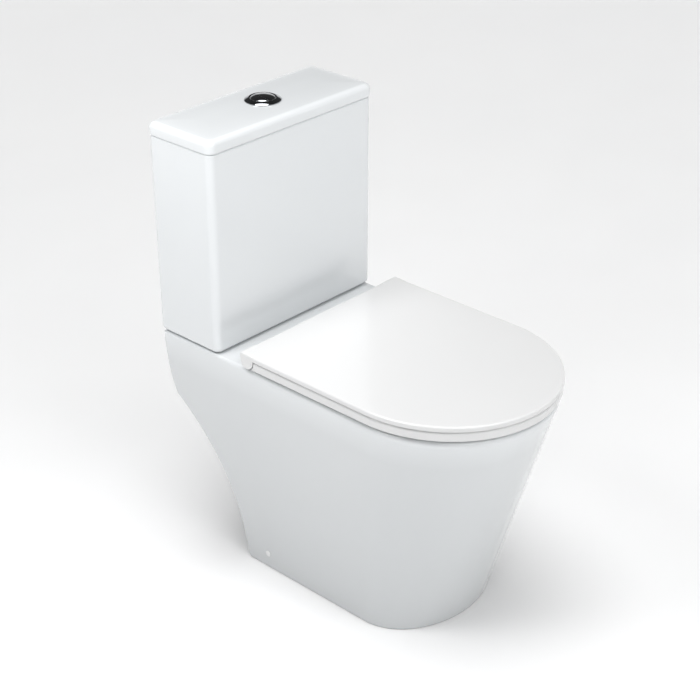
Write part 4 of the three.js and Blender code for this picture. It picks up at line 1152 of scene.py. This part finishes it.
@dataclass
class Cistern:
    """The ceramic cistern body and its lift-off lid.

    Attributes:
        width: of the body.
        depth: of the body.
        foot: height of its underside.
        top: height of its rim.
        corner: radius of its front corners.
        back_corner: radius of its back corners.
        wall: its thickness.
        flare: how much further the front stands out at the top than at the foot.
        lid_z: height of the lid's underside.
        lid_top: height of the lid's top.
        overhang: how far the lid stands over the body.
    """

    width: float = 366.0
    depth: float = 140.0
    foot: float = 417.0
    top: float = 762.0
    corner: float = 12.0
    back_corner: float = 7.0
    wall: float = 11.0
    flare: float = 3.0
    lid_z: float = 762.3
    lid_top: float = LID_TOP
    overhang: float = 2.0

    def section(self, inset: float, share: float, crown: float = 0.0) -> list[Flat]:
        """The body's outline.

        Args:
            inset: how far inside the outer face.
            share: share of its height, which leans the front out.
            crown: bulge of the front and sides at their middle.

        Returns:
            The outline.
        """
        width, depth = self.width - 2 * inset, self.depth - 2 * inset
        lean = self.flare * (1 - share)
        points = []
        front = max(self.corner - inset * 0.6, 4.0)
        for x, y in rounded_rectangle(width, depth, front, max(self.back_corner - inset * 0.4, 3.5)):
            across, along = x / width * 2, y / depth * 2
            if y < 0:
                y += lean * -along - crown * (1 - across**2)
            x += math.copysign(crown * 0.6 * (1 - along**2), x) * abs(across) ** 6
            points.append((x, y + CISTERN_Y))
        return points

    def build_body(self) -> None:
        """Builds and dresses the body."""
        rings = []
        for z, inset in reversed(rounding(0.0, 9.0, 8)):
            rings.append(at_height(self.section(inset, 0.0), self.foot - z))
        for share in (0.08, 0.2, 0.35, 0.5, 0.65, 0.8, 0.92):
            crown = 0.9 * math.sin(share * math.pi)
            z = between(self.foot, self.top, share)
            rings.append(at_height(self.section(0.0, share, crown), z))
        for z, inset in rounding(self.top, 3.0, 5):
            rings.append(at_height(self.section(inset, 1.0), z))
        inside = [at_height(self.section(self.wall + 9, 0.0), self.foot + 14)]
        for z, inset in [(16.0, 5.0), (19.0, 2.6), (24.0, 0.9), (32.0, 0.0)]:
            inside.append(at_height(self.section(self.wall + inset, 0.05), self.foot + z))
        for z, thinner in ((-4, 0.0), (-1, 1.2), (1, 3.5)):
            inside.append(at_height(self.section(self.wall - thinner, 1.0), self.top + z))
        holes = ((0.0, 31.5), (FILL_X, 11.0), (-COUPLING_X, BOLT_HOLE), (COUPLING_X, BOLT_HOLE))
        bores = [
            rod((x, CISTERN_Y, self.foot - 2), (x, CISTERN_Y, self.foot + 18), radius, 56)
            for x, radius in holes
        ]
        stack(rings).cut(stack(inside), *bores).become("cistern_fine", ["cistern"])

    def build_lid(self) -> None:
        """Builds and dresses the lid."""
        width, depth = self.width + 2 * self.overhang, self.depth + self.overhang
        middle = (0.0, CISTERN_Y - self.overhang / 2)

        def ring(z: float, inset: float) -> Ring:
            """Draws the lid's outline.

            Args:
                z: its height.
                inset: how far inside the lid's face.

            Returns:
                The outline at that height.
            """
            front = max(self.corner + 2 - inset * 0.55, 4.0)
            back = max(self.back_corner + 2 - inset * 0.4, 4.0)
            sizes = (width - 2 * inset, depth - 2 * inset)
            return at_height(rounded_rectangle(*sizes, front, back, middle), z)

        rings = [ring(self.lid_z, 3.4), ring(self.lid_z + 0.3, 2.0), ring(self.lid_z + 1.2, 0.8)]
        rings += [ring(self.lid_z + 2.6, 0.2), ring(self.lid_z + 5, 0.0), ring(self.lid_z + 10, 0.0)]
        rings += [ring(z, inset) for z, inset in rounding(self.lid_top - 1.3, 10.0, 12)]
        for inset, drop in ((14, 1.0), (20, 0.7), (28, 0.42), (38, 0.18), (48, 0.06), (58, 0.0)):
            rings.append(ring(self.lid_top - drop, inset))
        room = [ring(self.lid_z - 1, 10.0), ring(self.lid_z + 1, 11.2), ring(self.lid_top - 16, 13.0)]
        room += [ring(self.lid_top - 13.5, 16.5), ring(self.lid_top - 12, 21.0)]

        def lip(inset: float, low: float, high: float, soft: float) -> Solid:
            """Makes the block inside one face of the locating lip.

            Args:
                inset: how far inside the body's face.
                low: its lower end.
                high: its upper end.
                soft: how much narrower it is at its lower end.

            Returns:
                The block.
            """
            return stack([
                at_height(self.section(inset + soft, 1.0), low),
                at_height(self.section(inset, 1.0), low + 1.5),
                at_height(self.section(inset, 1.0), high),
            ])

        under = self.lid_z - 7
        inner, outer = self.wall + 9, self.wall + 3
        locating = lip(outer, under, self.lid_top - 11, 1.2)
        locating.cut(lip(inner, under - 1, self.lid_top - 10, -1.2))
        hole = rod((0, CISTERN_Y, self.lid_z), (0, CISTERN_Y, self.lid_top + 5), 24, 72)
        lid = stack(rings).cut(stack(room)).join(locating).cut(hole)
        lid.become("cistern_lid_fine", ["cistern_lid"])


# ---------------------------------------------------------------- flush button


@dataclass
class FlushButtons:
    """The chromed push button: a collar, and a dome split into a full and a half flush.

    Attributes:
        middle: its middle, in plan.
        lid_top: height of the lid it stands in.
        plate: height of the underside of its inner plate.
        plate_height: thickness of that plate.
        radius: of the dome.
        collar: radius of the collar.
        split: X of the parting, at the edge of the dome.
        bow: how far the parting bows out at its middle.
        travel: how far a button goes down; not used.
        rod_place: X and Y of the full flush rod from the middle; the other is opposite.
        lever_top: height of the levers below the rods.
        wire: radius of the springs' wire.
        coil: radius of the springs.
        turns: of each spring.
    """

    middle: Flat = (0.0, CISTERN_Y)
    lid_top: float = LID_TOP
    plate: float = 767.3
    plate_height: float = 3.0
    radius: float = 20.8
    collar: float = 30.5
    split: float = -5.0
    bow: float = 2.0
    travel: float = 5.0
    rod_place: Flat = (13.0, -7.0)
    lever_top: float = 701.5
    wire: float = 0.45
    coil: float = 3.8
    turns: float = 3.5

    def rod_middle(self, way: int) -> Flat:
        """Where a rod stands, in plan, on the right for 1 and on the left for -1."""
        return self.middle[0] + way * self.rod_place[0], self.middle[1] + way * self.rod_place[1]

    def build(self) -> None:
        """Builds and dresses the collar, both buttons, rods and springs."""
        z = self.lid_top + GAP
        inner = self.radius + RUN
        plate_top = self.plate + self.plate_height
        shell = turned(self.middle, [
            (0, self.plate), (22.4, self.plate), (23, self.plate + 0.6), (23, z),
            (self.collar - 0.3, z), (self.collar, z + 0.4), (self.collar - 0.1, z + 1.2),
            (self.collar - 1.2, z + 2.1), (self.collar - 3.4, z + 3.2), (self.collar - 5.8, z + 4.2),
            (inner + 1.9, z + 4.9), (inner + 0.8, z + 5.0), (inner + 0.2, z + 4.7), (inner, z + 4.1),
            (inner, plate_top), (0, plate_top),
        ], 120)
        for way in (-1, 1):
            at = self.rod_middle(way)
            shell.cut(rod((*at, self.plate - 1), (*at, plate_top + 1), 3, 24))
        shell.become("button_bezel_fine", ["button_bezel"])
        self._part(1, "full")
        self._part(-1, "half")
        softened("button_nut", 0.6)

    def _part(self, way: int, word: str) -> None:
        """Builds one part of the dome with its rod and spring.

        Args:
            way: 1 for the right part, -1 for the left.
            word: the part's name.
        """
        low, top = self.lid_top - 4, self.lid_top
        dome = turned(self.middle, [
            (0, low), (self.radius, low), (self.radius, top + 3.6), (self.radius - 0.3, top + 4.5),
            (self.radius - 1.2, top + 5.3), (self.radius * 0.82, top + 6.5), (self.radius * 0.62, top + 7.7),
            (self.radius * 0.4, top + 8.5), (self.radius * 0.2, top + 8.9), (0, top + 9.0),
        ], 120)
        # the parting is a shallow curve that bows towards the half flush
        y, reach, far = self.middle[1], 30, -way * 60
        line = self.split + way * RUN
        parting = [(line - self.bow * (1 - (t / reach) ** 2), y + t) for t in range(-reach, reach + 1, 3)]
        outline = parting + [(far, y + reach), (far, y - reach)]
        cutter = [at_height(outline, level) for level in (low - 10, top + 20)]
        dome.cut(stack(cutter))
        dome.become(f"{word}_flush_button_fine", [f"{word}_flush_button"], edge=0.35)
        tip = self.lever_top + GAP
        at = self.rod_middle(way)
        stem = turned(at, [
            (0, tip), (1.1, tip + 0.25), (1.9, tip + 0.9), (2.4, tip + 2.4), (2.4, tip + 60),
            (1.8, tip + 61), (1.8, tip + 62), (2.4, tip + 63), (2.4, low - GAP), (0, low - GAP),
        ], 24)
        stem.become(f"{word}_flush_rod_fine", [f"{word}_flush_rod"])
        foot, head = self.plate + self.plate_height + GAP, low - GAP
        # the first and last 0.06 of the wire lie flat
        count, flat = 150, 0.06
        coil = []
        for i in range(count + 1):
            share = i / count
            climb = (share - flat) / (1 - 2 * flat) if flat < share < 1 - flat else round(share)
            angle = math.tau * self.turns * share
            coil.append((
                at[0] + self.coil * math.cos(angle),
                at[1] + self.coil * math.sin(angle),
                between(foot + self.wire, head - self.wire, climb),
            ))
        spring = pipe(coil, self.wire, 10)
        piece = spring.become(f"{word}_flush_spring_fine", [f"{word}_flush_spring"])
        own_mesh(piece)


# ---------------------------------------------------------------- seat


@dataclass
class Seat:
    """The seat ring and its lid, which share one hinge line.

    Attributes:
        half: half its width.
        back: Y of its back.
        nose_y: Y where its straight sides end.
        nose: length of its round front.
        ring_z: height of the ring's underside.
        ring_top: height of the ring's top.
        lid_z: height of the lid's underside.
        top: height of the lid's top.
        axis_y: Y of the hinge line.
        axis_z: height of the hinge line.
        ear: X where the lid's ears begin.
        bar: X where the lid's middle bar ends.
        lug: X where the ring's lugs begin.
        lug_radius: radius of those lugs.
        pin_bore: radius of the bores for the hinge pins.
        opening: half the width of the ring's opening.
        opening_ends: Y of the front and back of that opening.
        buffers: name, X and Y of the ring's buffers, on the right side.
    """

    half: float = 185.5
    back: float = 134.0
    nose_y: float = -132.0
    nose: float = 194.0
    ring_z: float = 417.5
    ring_top: float = 434.5
    lid_z: float = 435.7
    top: float = 445.7
    axis_y: float = 120.0
    axis_z: float = 432.2
    ear: float = 151.0
    bar: float = 54.0
    lug: float = 113.03
    lug_radius: float = 9.5
    pin_bore: float = 4.5
    opening: float = 111.0
    opening_ends: Flat = (-262.0, 48.0)
    buffers: tuple[tuple[str, float, float], ...] = (("back", 122.0, 50.0), ("front", 132.0, -150.0))

    def wall(self, z: float, inset: float, back: float | None = None) -> Ring:
        """The seat's outline at a height.

        Args:
            z: the height.
            inset: how far inside its edge, but for its back.
            back: Y of the back, if not the seat's.

        Returns:
            The ring.
        """
        rear = self.back if back is None else back
        return at_height(d_outline(self.half - inset, rear, self.nose_y, self.nose - inset, 3.0), z)

    def hinge_bar(self, start: float, end: float, edge: float) -> Solid:
        """Makes a stretch of the lid's rolled back edge, flat on top and round below.

        Args:
            start: first X.
            end: last X.
            edge: how much its ends are drawn in.

        Returns:
            The stretch.
        """
        radius, back = 13.0, self.back
        under = arc((self.axis_y, self.axis_z), (radius, radius), 0, -180, 20)
        profile = [
            (back, self.axis_z + 2), *under[1:], (self.axis_y - radius, self.top - 1),
            (back - 3, self.top), (back - 1.2, self.top - 0.5), (back - 0.3, self.top - 1.6),
            (back, self.top - 3),
        ]
        return prism(profile, start, end, edge)

    def cross(self, start: float, end: float, radius: float) -> Solid:
        """A rod along the hinge line."""
        return rod((start, self.axis_y, self.axis_z), (end, self.axis_y, self.axis_z), radius, 40)

    def build_lid(self) -> None:
        """Builds and dresses the lid."""
        foot = ((0.0, 1.4), (0.5, 0.5), (1.3, 0.0))
        rings = [self.wall(self.lid_z + z, inset) for z, inset in foot]
        rings += [self.wall(z, inset, self.back - inset) for z, inset in rounding(self.top - 0.6, 3.2, 8)]
        for inset, drop in ((8, 0.42), (16, 0.3), (30, 0.17), (50, 0.07), (80, 0.0)):
            rings.append(self.wall(self.top - drop, inset, self.back - inset * 0.6))
        hollow = ((-1, 8.2, 96), (1, 9.0, 95.5), (4.4, 10.5, 94), (5.8, 13.0, 92))
        tools = [stack([self.wall(self.lid_z + z, inset, back) for z, inset, back in hollow])]
        for start, end in ((-self.ear, -self.bar - 1), (self.bar + 1, self.ear)):
            tools.append(self.cross(start, end, self.lug_radius + 0.9))
            tools.append(block((start, self.axis_y - 22, 415), (end, self.back + 1, self.axis_z + 4)))
        plate = stack(rings).cut(*tools)
        plate.join(
            self.hinge_bar(-self.bar, self.bar, 0.8),
            self.hinge_bar(self.ear, self.half - 0.1, 1.2),
            self.hinge_bar(0.1 - self.half, -self.ear, 1.2),
        )
        damper_bore = 8.3
        plate.cut(
            self.cross(8 - self.half, 1 - self.ear, damper_bore),
            self.cross(self.ear - 1, self.half - 8, self.pin_bore),
        )
        plate.become("seat_lid_fine", ["seat_lid"])

    def hole(self, grow: float, z: float) -> Ring:
        """Draws the ring's opening.

        Args:
            grow: how far outside the opening's edge.
            z: the height.

        Returns:
            The outline.
        """
        front, back = self.opening_ends
        middle = (front + back) / 2 + 47
        reach = (middle - front + grow, back - middle + grow)
        return egg((0.0, middle), self.opening + grow, reach, z)

    def build_ring(self) -> None:
        """Builds and dresses the ring."""
        low, high = self.ring_z, self.ring_top
        foot = ((0.0, 5.6), (0.8, 3.7), (2.4, 2.1), (5.0, 1.4))
        rings = [self.wall(low + z, inset) for z, inset in foot]
        rings += [self.wall(z, inset + 1.3) for z, inset in rounding(high, 4.5, 7)]
        holes = [self.hole(out, low + z) for z, out in ((-3, 4.5), (0, 3.4), (1.4, 1.2), (4, 0.0))]
        edge = ((-8.0, 0.0), (-5.6, 0.5), (-3.6, 1.7), (-1.9, 3.6), (-0.7, 6.0), (0.0, 9.0), (2.0, 9.4))
        holes += [self.hole(out, high + z) for z, out in edge]
        channel = stack([self.wall(low - 1, 8, 95), self.wall(high - 6, 11, 95), self.wall(high - 5, 14, 93)])
        channel.cut(stack([self.hole(9, low - 2), self.hole(12, high)]))
        for way in (-1, 1):
            for _, x, y in self.buffers:
                channel.cut(rod((way * x, y, low - 2), (way * x, y, high), 11, 32))
        seat = stack(rings).cut(channel, stack(holes))
        # the cuts at the hinges go well past the ring's underside and top
        below, above = 405, 460
        seat.cut(self.cross(-200, 200, 15), block((-200, self.axis_y, below), (200, self.back + 6, above)))
        lugs = []
        for way in (-1, 1):
            start, end = sorted((way * self.bar, way * self.lug))
            seat.cut(block((start, self.axis_y - 32, below), (end, self.back, above)))
            start, end = sorted((way * self.lug, way * (self.ear - 1)))
            lug = self.cross(start, end, self.lug_radius)
            heel = self.axis_z - self.lug_radius
            lug.join(block((start, self.axis_y - 20, heel), (end, self.axis_y, self.axis_z + 1)))
            bore = self.cross(start - 1, end + 1, self.pin_bore)
            if way > 0:
                bore.join(self.cross(start - 1, end - 3, 6.8))
            lugs.append(lug.cut(bore))
        seat.join(*lugs).become("seat_ring_fine", ["seat_ring"])

    def build_buffers(self) -> None:
        """Builds and dresses the rubber buffers under the ring and the lid."""
        low, high = PAN_TOP + GAP, self.ring_z - GAP
        base, head = self.lid_z - 1.2 + GAP, self.top - 4 - GAP
        for side in Side:
            for place, x, y in self.buffers:
                name = f"ring_buffer_{place}_{side.word}"
                pad = turned((side.value * x, y), [
                    (0, low), (7.2, low), (7.9, low + 0.3), (8.2, low + 0.8), (9, high - 0.3),
                    (9, high), (0, high),
                ], 40)
                pad.become(f"{name}_fine", [name])
            name = f"lid_buffer_{side.word}"
            pad = turned((side.value * 147, self.nose_y + 10), [
                (0, base), (5.2, base), (5.8, base + 0.3), (6.1, base + 0.9), (6.6, head - 2),
                (7, head - 1.6), (7, head), (0, head),
            ], 40)
            pad.become(f"{name}_fine", [name])


@dataclass
class Hinge:
    """One seat hinge: a chromed knuckle on a stud, with its pin and wing nut.

    Attributes:
        side: the side it is on.
        seat: the seat it carries.
        base_z: height of the knuckle's underside.
        stud_low: height of the stud's lower end.
        radius: of the knuckle's barrel.
        barrel: X of the barrel's ends.
        pin_radius: of the pin.
    """

    side: Side
    seat: Seat
    base_z: float = 416.8
    stud_low: float = 363.0
    radius: float = 9.5
    barrel: Flat = (57.0, 111.0)
    pin_radius: float = 4.0

    def build(self) -> None:
        """Builds and dresses the hinge."""
        word, way = self.side.word, self.side.value
        x, y, z = way * STUD_X, STUD_Y, self.base_z
        axis_y, axis_z = self.seat.axis_y, self.seat.axis_z
        base = turned((x, y), [
            (0, z), (10.6, z), (11, z + 0.4), (11, z + 2.9), (10, z + 3.9), (0, z + 4),
        ], 56)
        base.join(block((x - 8, axis_y - 18, z + 1.5), (x + 8, axis_y, axis_z), 1.5))
        start, end = sorted(way * x for x in self.barrel)
        full, groove, soft = self.radius, self.radius - 0.4, 0.8
        barrel = turned((0, 0), [
            (0, start), (full - soft, start), (full, start + soft), (full, start + 14),
            (groove, start + 14.4), (groove, start + 15), (full, start + 15.4),
            (full, end - soft), (full - soft, end), (0, end),
        ], 56)
        lay = Matrix.Translation((0, axis_y, axis_z)) @ Matrix.Rotation(math.pi / 2, 4, "Y")
        barrel.object.data.transform(lay)
        inner = way * (STUD_X + 4)
        base.join(barrel).cut(
            self.seat.cross(inner - way, way * 150, self.pin_radius + GAP),
            rod((x, y, z - 1), (x, y, z + 9), 3.3, 24),
        )
        base.become(f"hinge_knuckle_{word}_fine", [f"hinge_knuckle_{word}"])
        softened(f"hinge_gasket_{word}", 0.3)
        softened(f"hinge_wing_nut_{word}", 0.7)
        count = 60
        levels = [(x, y, between(self.stud_low, z + 8, i / count)) for i in range(count + 1)]
        radii = [2.95 if i % 2 else 2.55 for i in range(count)] + [2.6]
        pipe(levels, radii, 20).become(f"hinge_stud_{word}_fine", [f"hinge_stud_{word}"])
        # the left pin ends in the lid's damper, the right one in the lid itself
        outer = way * (163.0 if self.side is Side.LEFT else 171.5)
        tip, soft = self.pin_radius - 0.7, way * 0.7
        steps = [(inner, tip), (inner + soft, self.pin_radius), (outer - soft, self.pin_radius), (outer, tip)]
        pin = pipe([(at, axis_y, axis_z) for at, _ in steps], [radius for _, radius in steps], 32)
        pin.become(f"hinge_pin_{word}_fine", [f"hinge_pin_{word}"])


# ---------------------------------------------------------------- valves and bolts


@dataclass(frozen=True)
class Thread:
    """A coarse external thread, drawn as a row of ridges.

    Attributes:
        middle: its axis, in plan.
        low: height of its lower end.
        high: height of its upper end.
        core: radius between the ridges.
        crest: radius over the ridges.
        pitch: from ridge to ridge.
    """

    middle: Flat
    low: float
    high: float
    core: float
    crest: float
    pitch: float

    def solid(self, bore: float) -> Solid:
        """Makes the threaded sleeve.

        Args:
            bore: radius inside it.

        Returns:
            The sleeve.
        """
        profile: list[Flat] = [(bore, self.low), (self.core, self.low)]
        z = self.low + self.pitch * 0.3
        while z < self.high - self.pitch:
            profile += [
                (self.core, z), (self.crest, z + self.pitch * 0.3),
                (self.crest, z + self.pitch * 0.45), (self.core, z + self.pitch * 0.75),
            ]
            z += self.pitch
        profile += [(self.core, self.high), (bore, self.high)]
        return turned(self.middle, profile, 64, closed=True)


@dataclass
class CisternWorks:
    """The flush valve, the fill valve, and the bolts that couple cistern and pan.

    Attributes:
        tail: the thread of the fill valve's tail.
        bolt: the thread of a coupling bolt, on the right side.
    """

    tail: Thread = Thread((FILL_X, CISTERN_Y), 370.5, 406.0, 10.25, 10.9, 2.2)
    bolt: Thread = Thread((COUPLING_X, CISTERN_Y), 360.0, 372.0, 4.05, 4.5, 1.4)

    def build_flush_valve(self) -> None:
        """Dresses the flush valve's pieces."""
        for node, edge in (
            ("flush_valve_body", 0.6), ("flush_valve_back_nut", 1.2), ("flush_valve_washer", 0.3),
            ("flush_valve_seal", 0.4), ("coupling_gasket", 1.0), ("overflow_tube", 0.4),
            ("half_flush_float", 0.6), ("full_flush_lever", 0.5), ("half_flush_lever", 0.5),
        ):
            softened(node, edge)

    def build_fill_valve(self) -> None:
        """Dresses the fill valve's pieces."""
        for node, edge in (
            ("fill_valve_body", 0.5), ("fill_valve_back_nut", 0.8), ("fill_valve_washer", 0.3),
            ("fill_valve_float", 0.8), ("fill_valve_arm", 0.5),
        ):
            softened(node, edge)

    def build_threads(self) -> None:
        """Adds the threads that show below the cistern."""
        self.tail.solid(9.4).become("fill_valve_thread", ["fill_valve_body"], extra=True)
        for side in Side:
            thread = replace(self.bolt, middle=(side.value * COUPLING_X, CISTERN_Y)).solid(3.2)
            thread.become(f"coupling_bolt_thread_{side.word}", [f"coupling_bolt_{side.word}"], extra=True)

    def build_couplings(self) -> None:
        """Dresses the coupling bolts and their washers and nuts."""
        for side in Side:
            for node, edge in (("bolt", 0.4), ("rubber", 0.6), ("washer", 0.3), ("wing_nut", 0.7)):
                softened(f"coupling_{node}_{side.word}", edge)


# ---------------------------------------------------------------- studio


@dataclass
class Studio:
    """The floor, the lights and the camera.

    Attributes:
        target: the point the camera turns about, in metres.
        turn: how far round it stands from straight in front, in degrees.
        lift: how far above level it stands, in degrees.
        distance: from the target, in metres.
        lens: its focal length, in millimetres.
        shift: how its picture is moved sideways and up, as a share of its width.
        sky: heights on the sky, and how bright it is there.
    """

    target: Point = (0.0, 0.026, 0.4)
    turn: float = -47.57
    lift: float = 28.84
    distance: float = 2.7066
    lens: float = 85.0
    shift: Flat = (-0.0264, 0.0106)
    sky: tuple[Flat, ...] = ((0.0, 0.95), (0.17, 0.8), (0.3, 0.06), (1.0, 0.03))

    def place_camera(self) -> None:
        """Sets up the camera."""
        data = bpy.data.cameras.new("camera")
        data.lens = self.lens
        data.sensor_width = 36.0
        data.shift_x, data.shift_y = self.shift
        camera = bpy.data.objects.new("camera", data)
        bpy.context.scene.collection.objects.link(camera)
        turn, lift = math.radians(self.turn), math.radians(self.lift)
        away = Vector((math.sin(turn) * math.cos(lift), -math.cos(turn) * math.cos(lift), math.sin(lift)))
        camera.location = Vector(self.target) + away * self.distance
        camera.rotation_euler = away.to_track_quat("Z", "Y").to_euler()
        bpy.context.scene.camera = camera

    def lamp(self, name: str, towards: Point, strength: float, spread: float) -> None:
        """Adds a broad soft light that reaches the whole floor evenly.

        Args:
            name: its name.
            towards: direction from the toilet to the light.
            strength: in watts per square metre.
            spread: how wide it looks from the toilet, in degrees.
        """
        data = bpy.data.lights.new(name, "SUN")
        data.energy = strength
        data.angle = math.radians(spread)
        lamp = bpy.data.objects.new(name, data)
        bpy.context.scene.collection.objects.link(lamp)
        lamp.rotation_euler = Vector(towards).to_track_quat("Z", "Y").to_euler()

    def panel(self, name: str, place: Point, aim: Point, power: float, size: Flat) -> None:
        """Adds a soft box close to the toilet.

        Args:
            name: its name.
            place: where it stands.
            aim: the point it faces.
            power: in watts.
            size: its width and height.
        """
        data = bpy.data.lights.new(name, "AREA")
        data.shape = "RECTANGLE"
        data.size, data.size_y = size
        data.energy = power
        panel = bpy.data.objects.new(name, data)
        bpy.context.scene.collection.objects.link(panel)
        panel.location = place
        panel.visible_camera = False
        panel.rotation_euler = (Vector(aim) - Vector(place)).to_track_quat("-Z", "Y").to_euler()

    def light(self) -> None:
        """Sets up the soft lights and the sky."""
        self.lamp("front", (-0.2, -0.75, 0.75), 1.05, 60.0)
        self.lamp("top", (-0.05, 0.05, 1.0), 1.8, 40.0)
        self.panel("side_panel", (-0.85, 0.25, 1.45), (0.0, 0.256, 0.7), 6.5, (0.6, 0.5))
        self.panel("front_panel", (-0.2, -1.1, 1.7), (0.0, 0.1, 0.6), 4.5, (0.9, 0.7))
        world = bpy.data.worlds.new("sky")
        bpy.context.scene.world = world
        world.use_nodes = True
        nodes, links = world.node_tree.nodes, world.node_tree.links
        place = nodes.new("ShaderNodeTexCoord")
        split = nodes.new("ShaderNodeSeparateXYZ")
        links.new(place.outputs["Generated"], split.inputs["Vector"])
        ramp = nodes.new("ShaderNodeValToRGB")
        stops = ramp.color_ramp.elements
        for position, _ in self.sky[1:-1]:
            stops.new(position)
        for stop, (_, level) in zip(stops, self.sky):
            stop.color = (level * 0.985, level * 0.995, level, 1.0)
        links.new(split.outputs["Z"], ramp.inputs["Fac"])
        links.new(ramp.outputs["Color"], nodes["Background"].inputs["Color"])
        nodes["Background"].inputs["Strength"].default_value = 1.0

    def lay_floor(self) -> None:
        """Lays the plain pale floor."""
        bm = bmesh.new()
        bmesh.ops.create_grid(bm, x_segments=2, y_segments=2, size=30.0)
        mesh = bpy.data.meshes.new("floor")
        bm.to_mesh(mesh)
        bm.free()
        mesh.materials.append(FLOOR.material())
        floor = bpy.data.objects.new("floor", mesh)
        bpy.context.scene.collection.objects.link(floor)

    def build(self) -> None:
        """Sets the stage."""
        bpy.context.scene.view_settings.view_transform = "Standard"
        self.place_camera()
        self.light()
        self.lay_floor()


def main() -> None:
    """Builds the toilet and its studio."""
    logging.basicConfig(level=logging.INFO, format="%(message)s")
    Studio().build()
    Pan().build()
    for side in Side:
        FloorFixing(side).build()
    cistern = Cistern()
    cistern.build_body()
    cistern.build_lid()
    FlushButtons().build()
    seat = Seat()
    seat.build_lid()
    seat.build_ring()
    seat.build_buffers()
    for side in Side:
        Hinge(side, seat).build()
    for node in ("lid_damper", "ring_damper"):
        softened(node, 0.5)
    works = CisternWorks()
    works.build_flush_valve()
    works.build_fill_valve()
    works.build_threads()
    works.build_couplings()


if __name__ == "__main__":
    main()
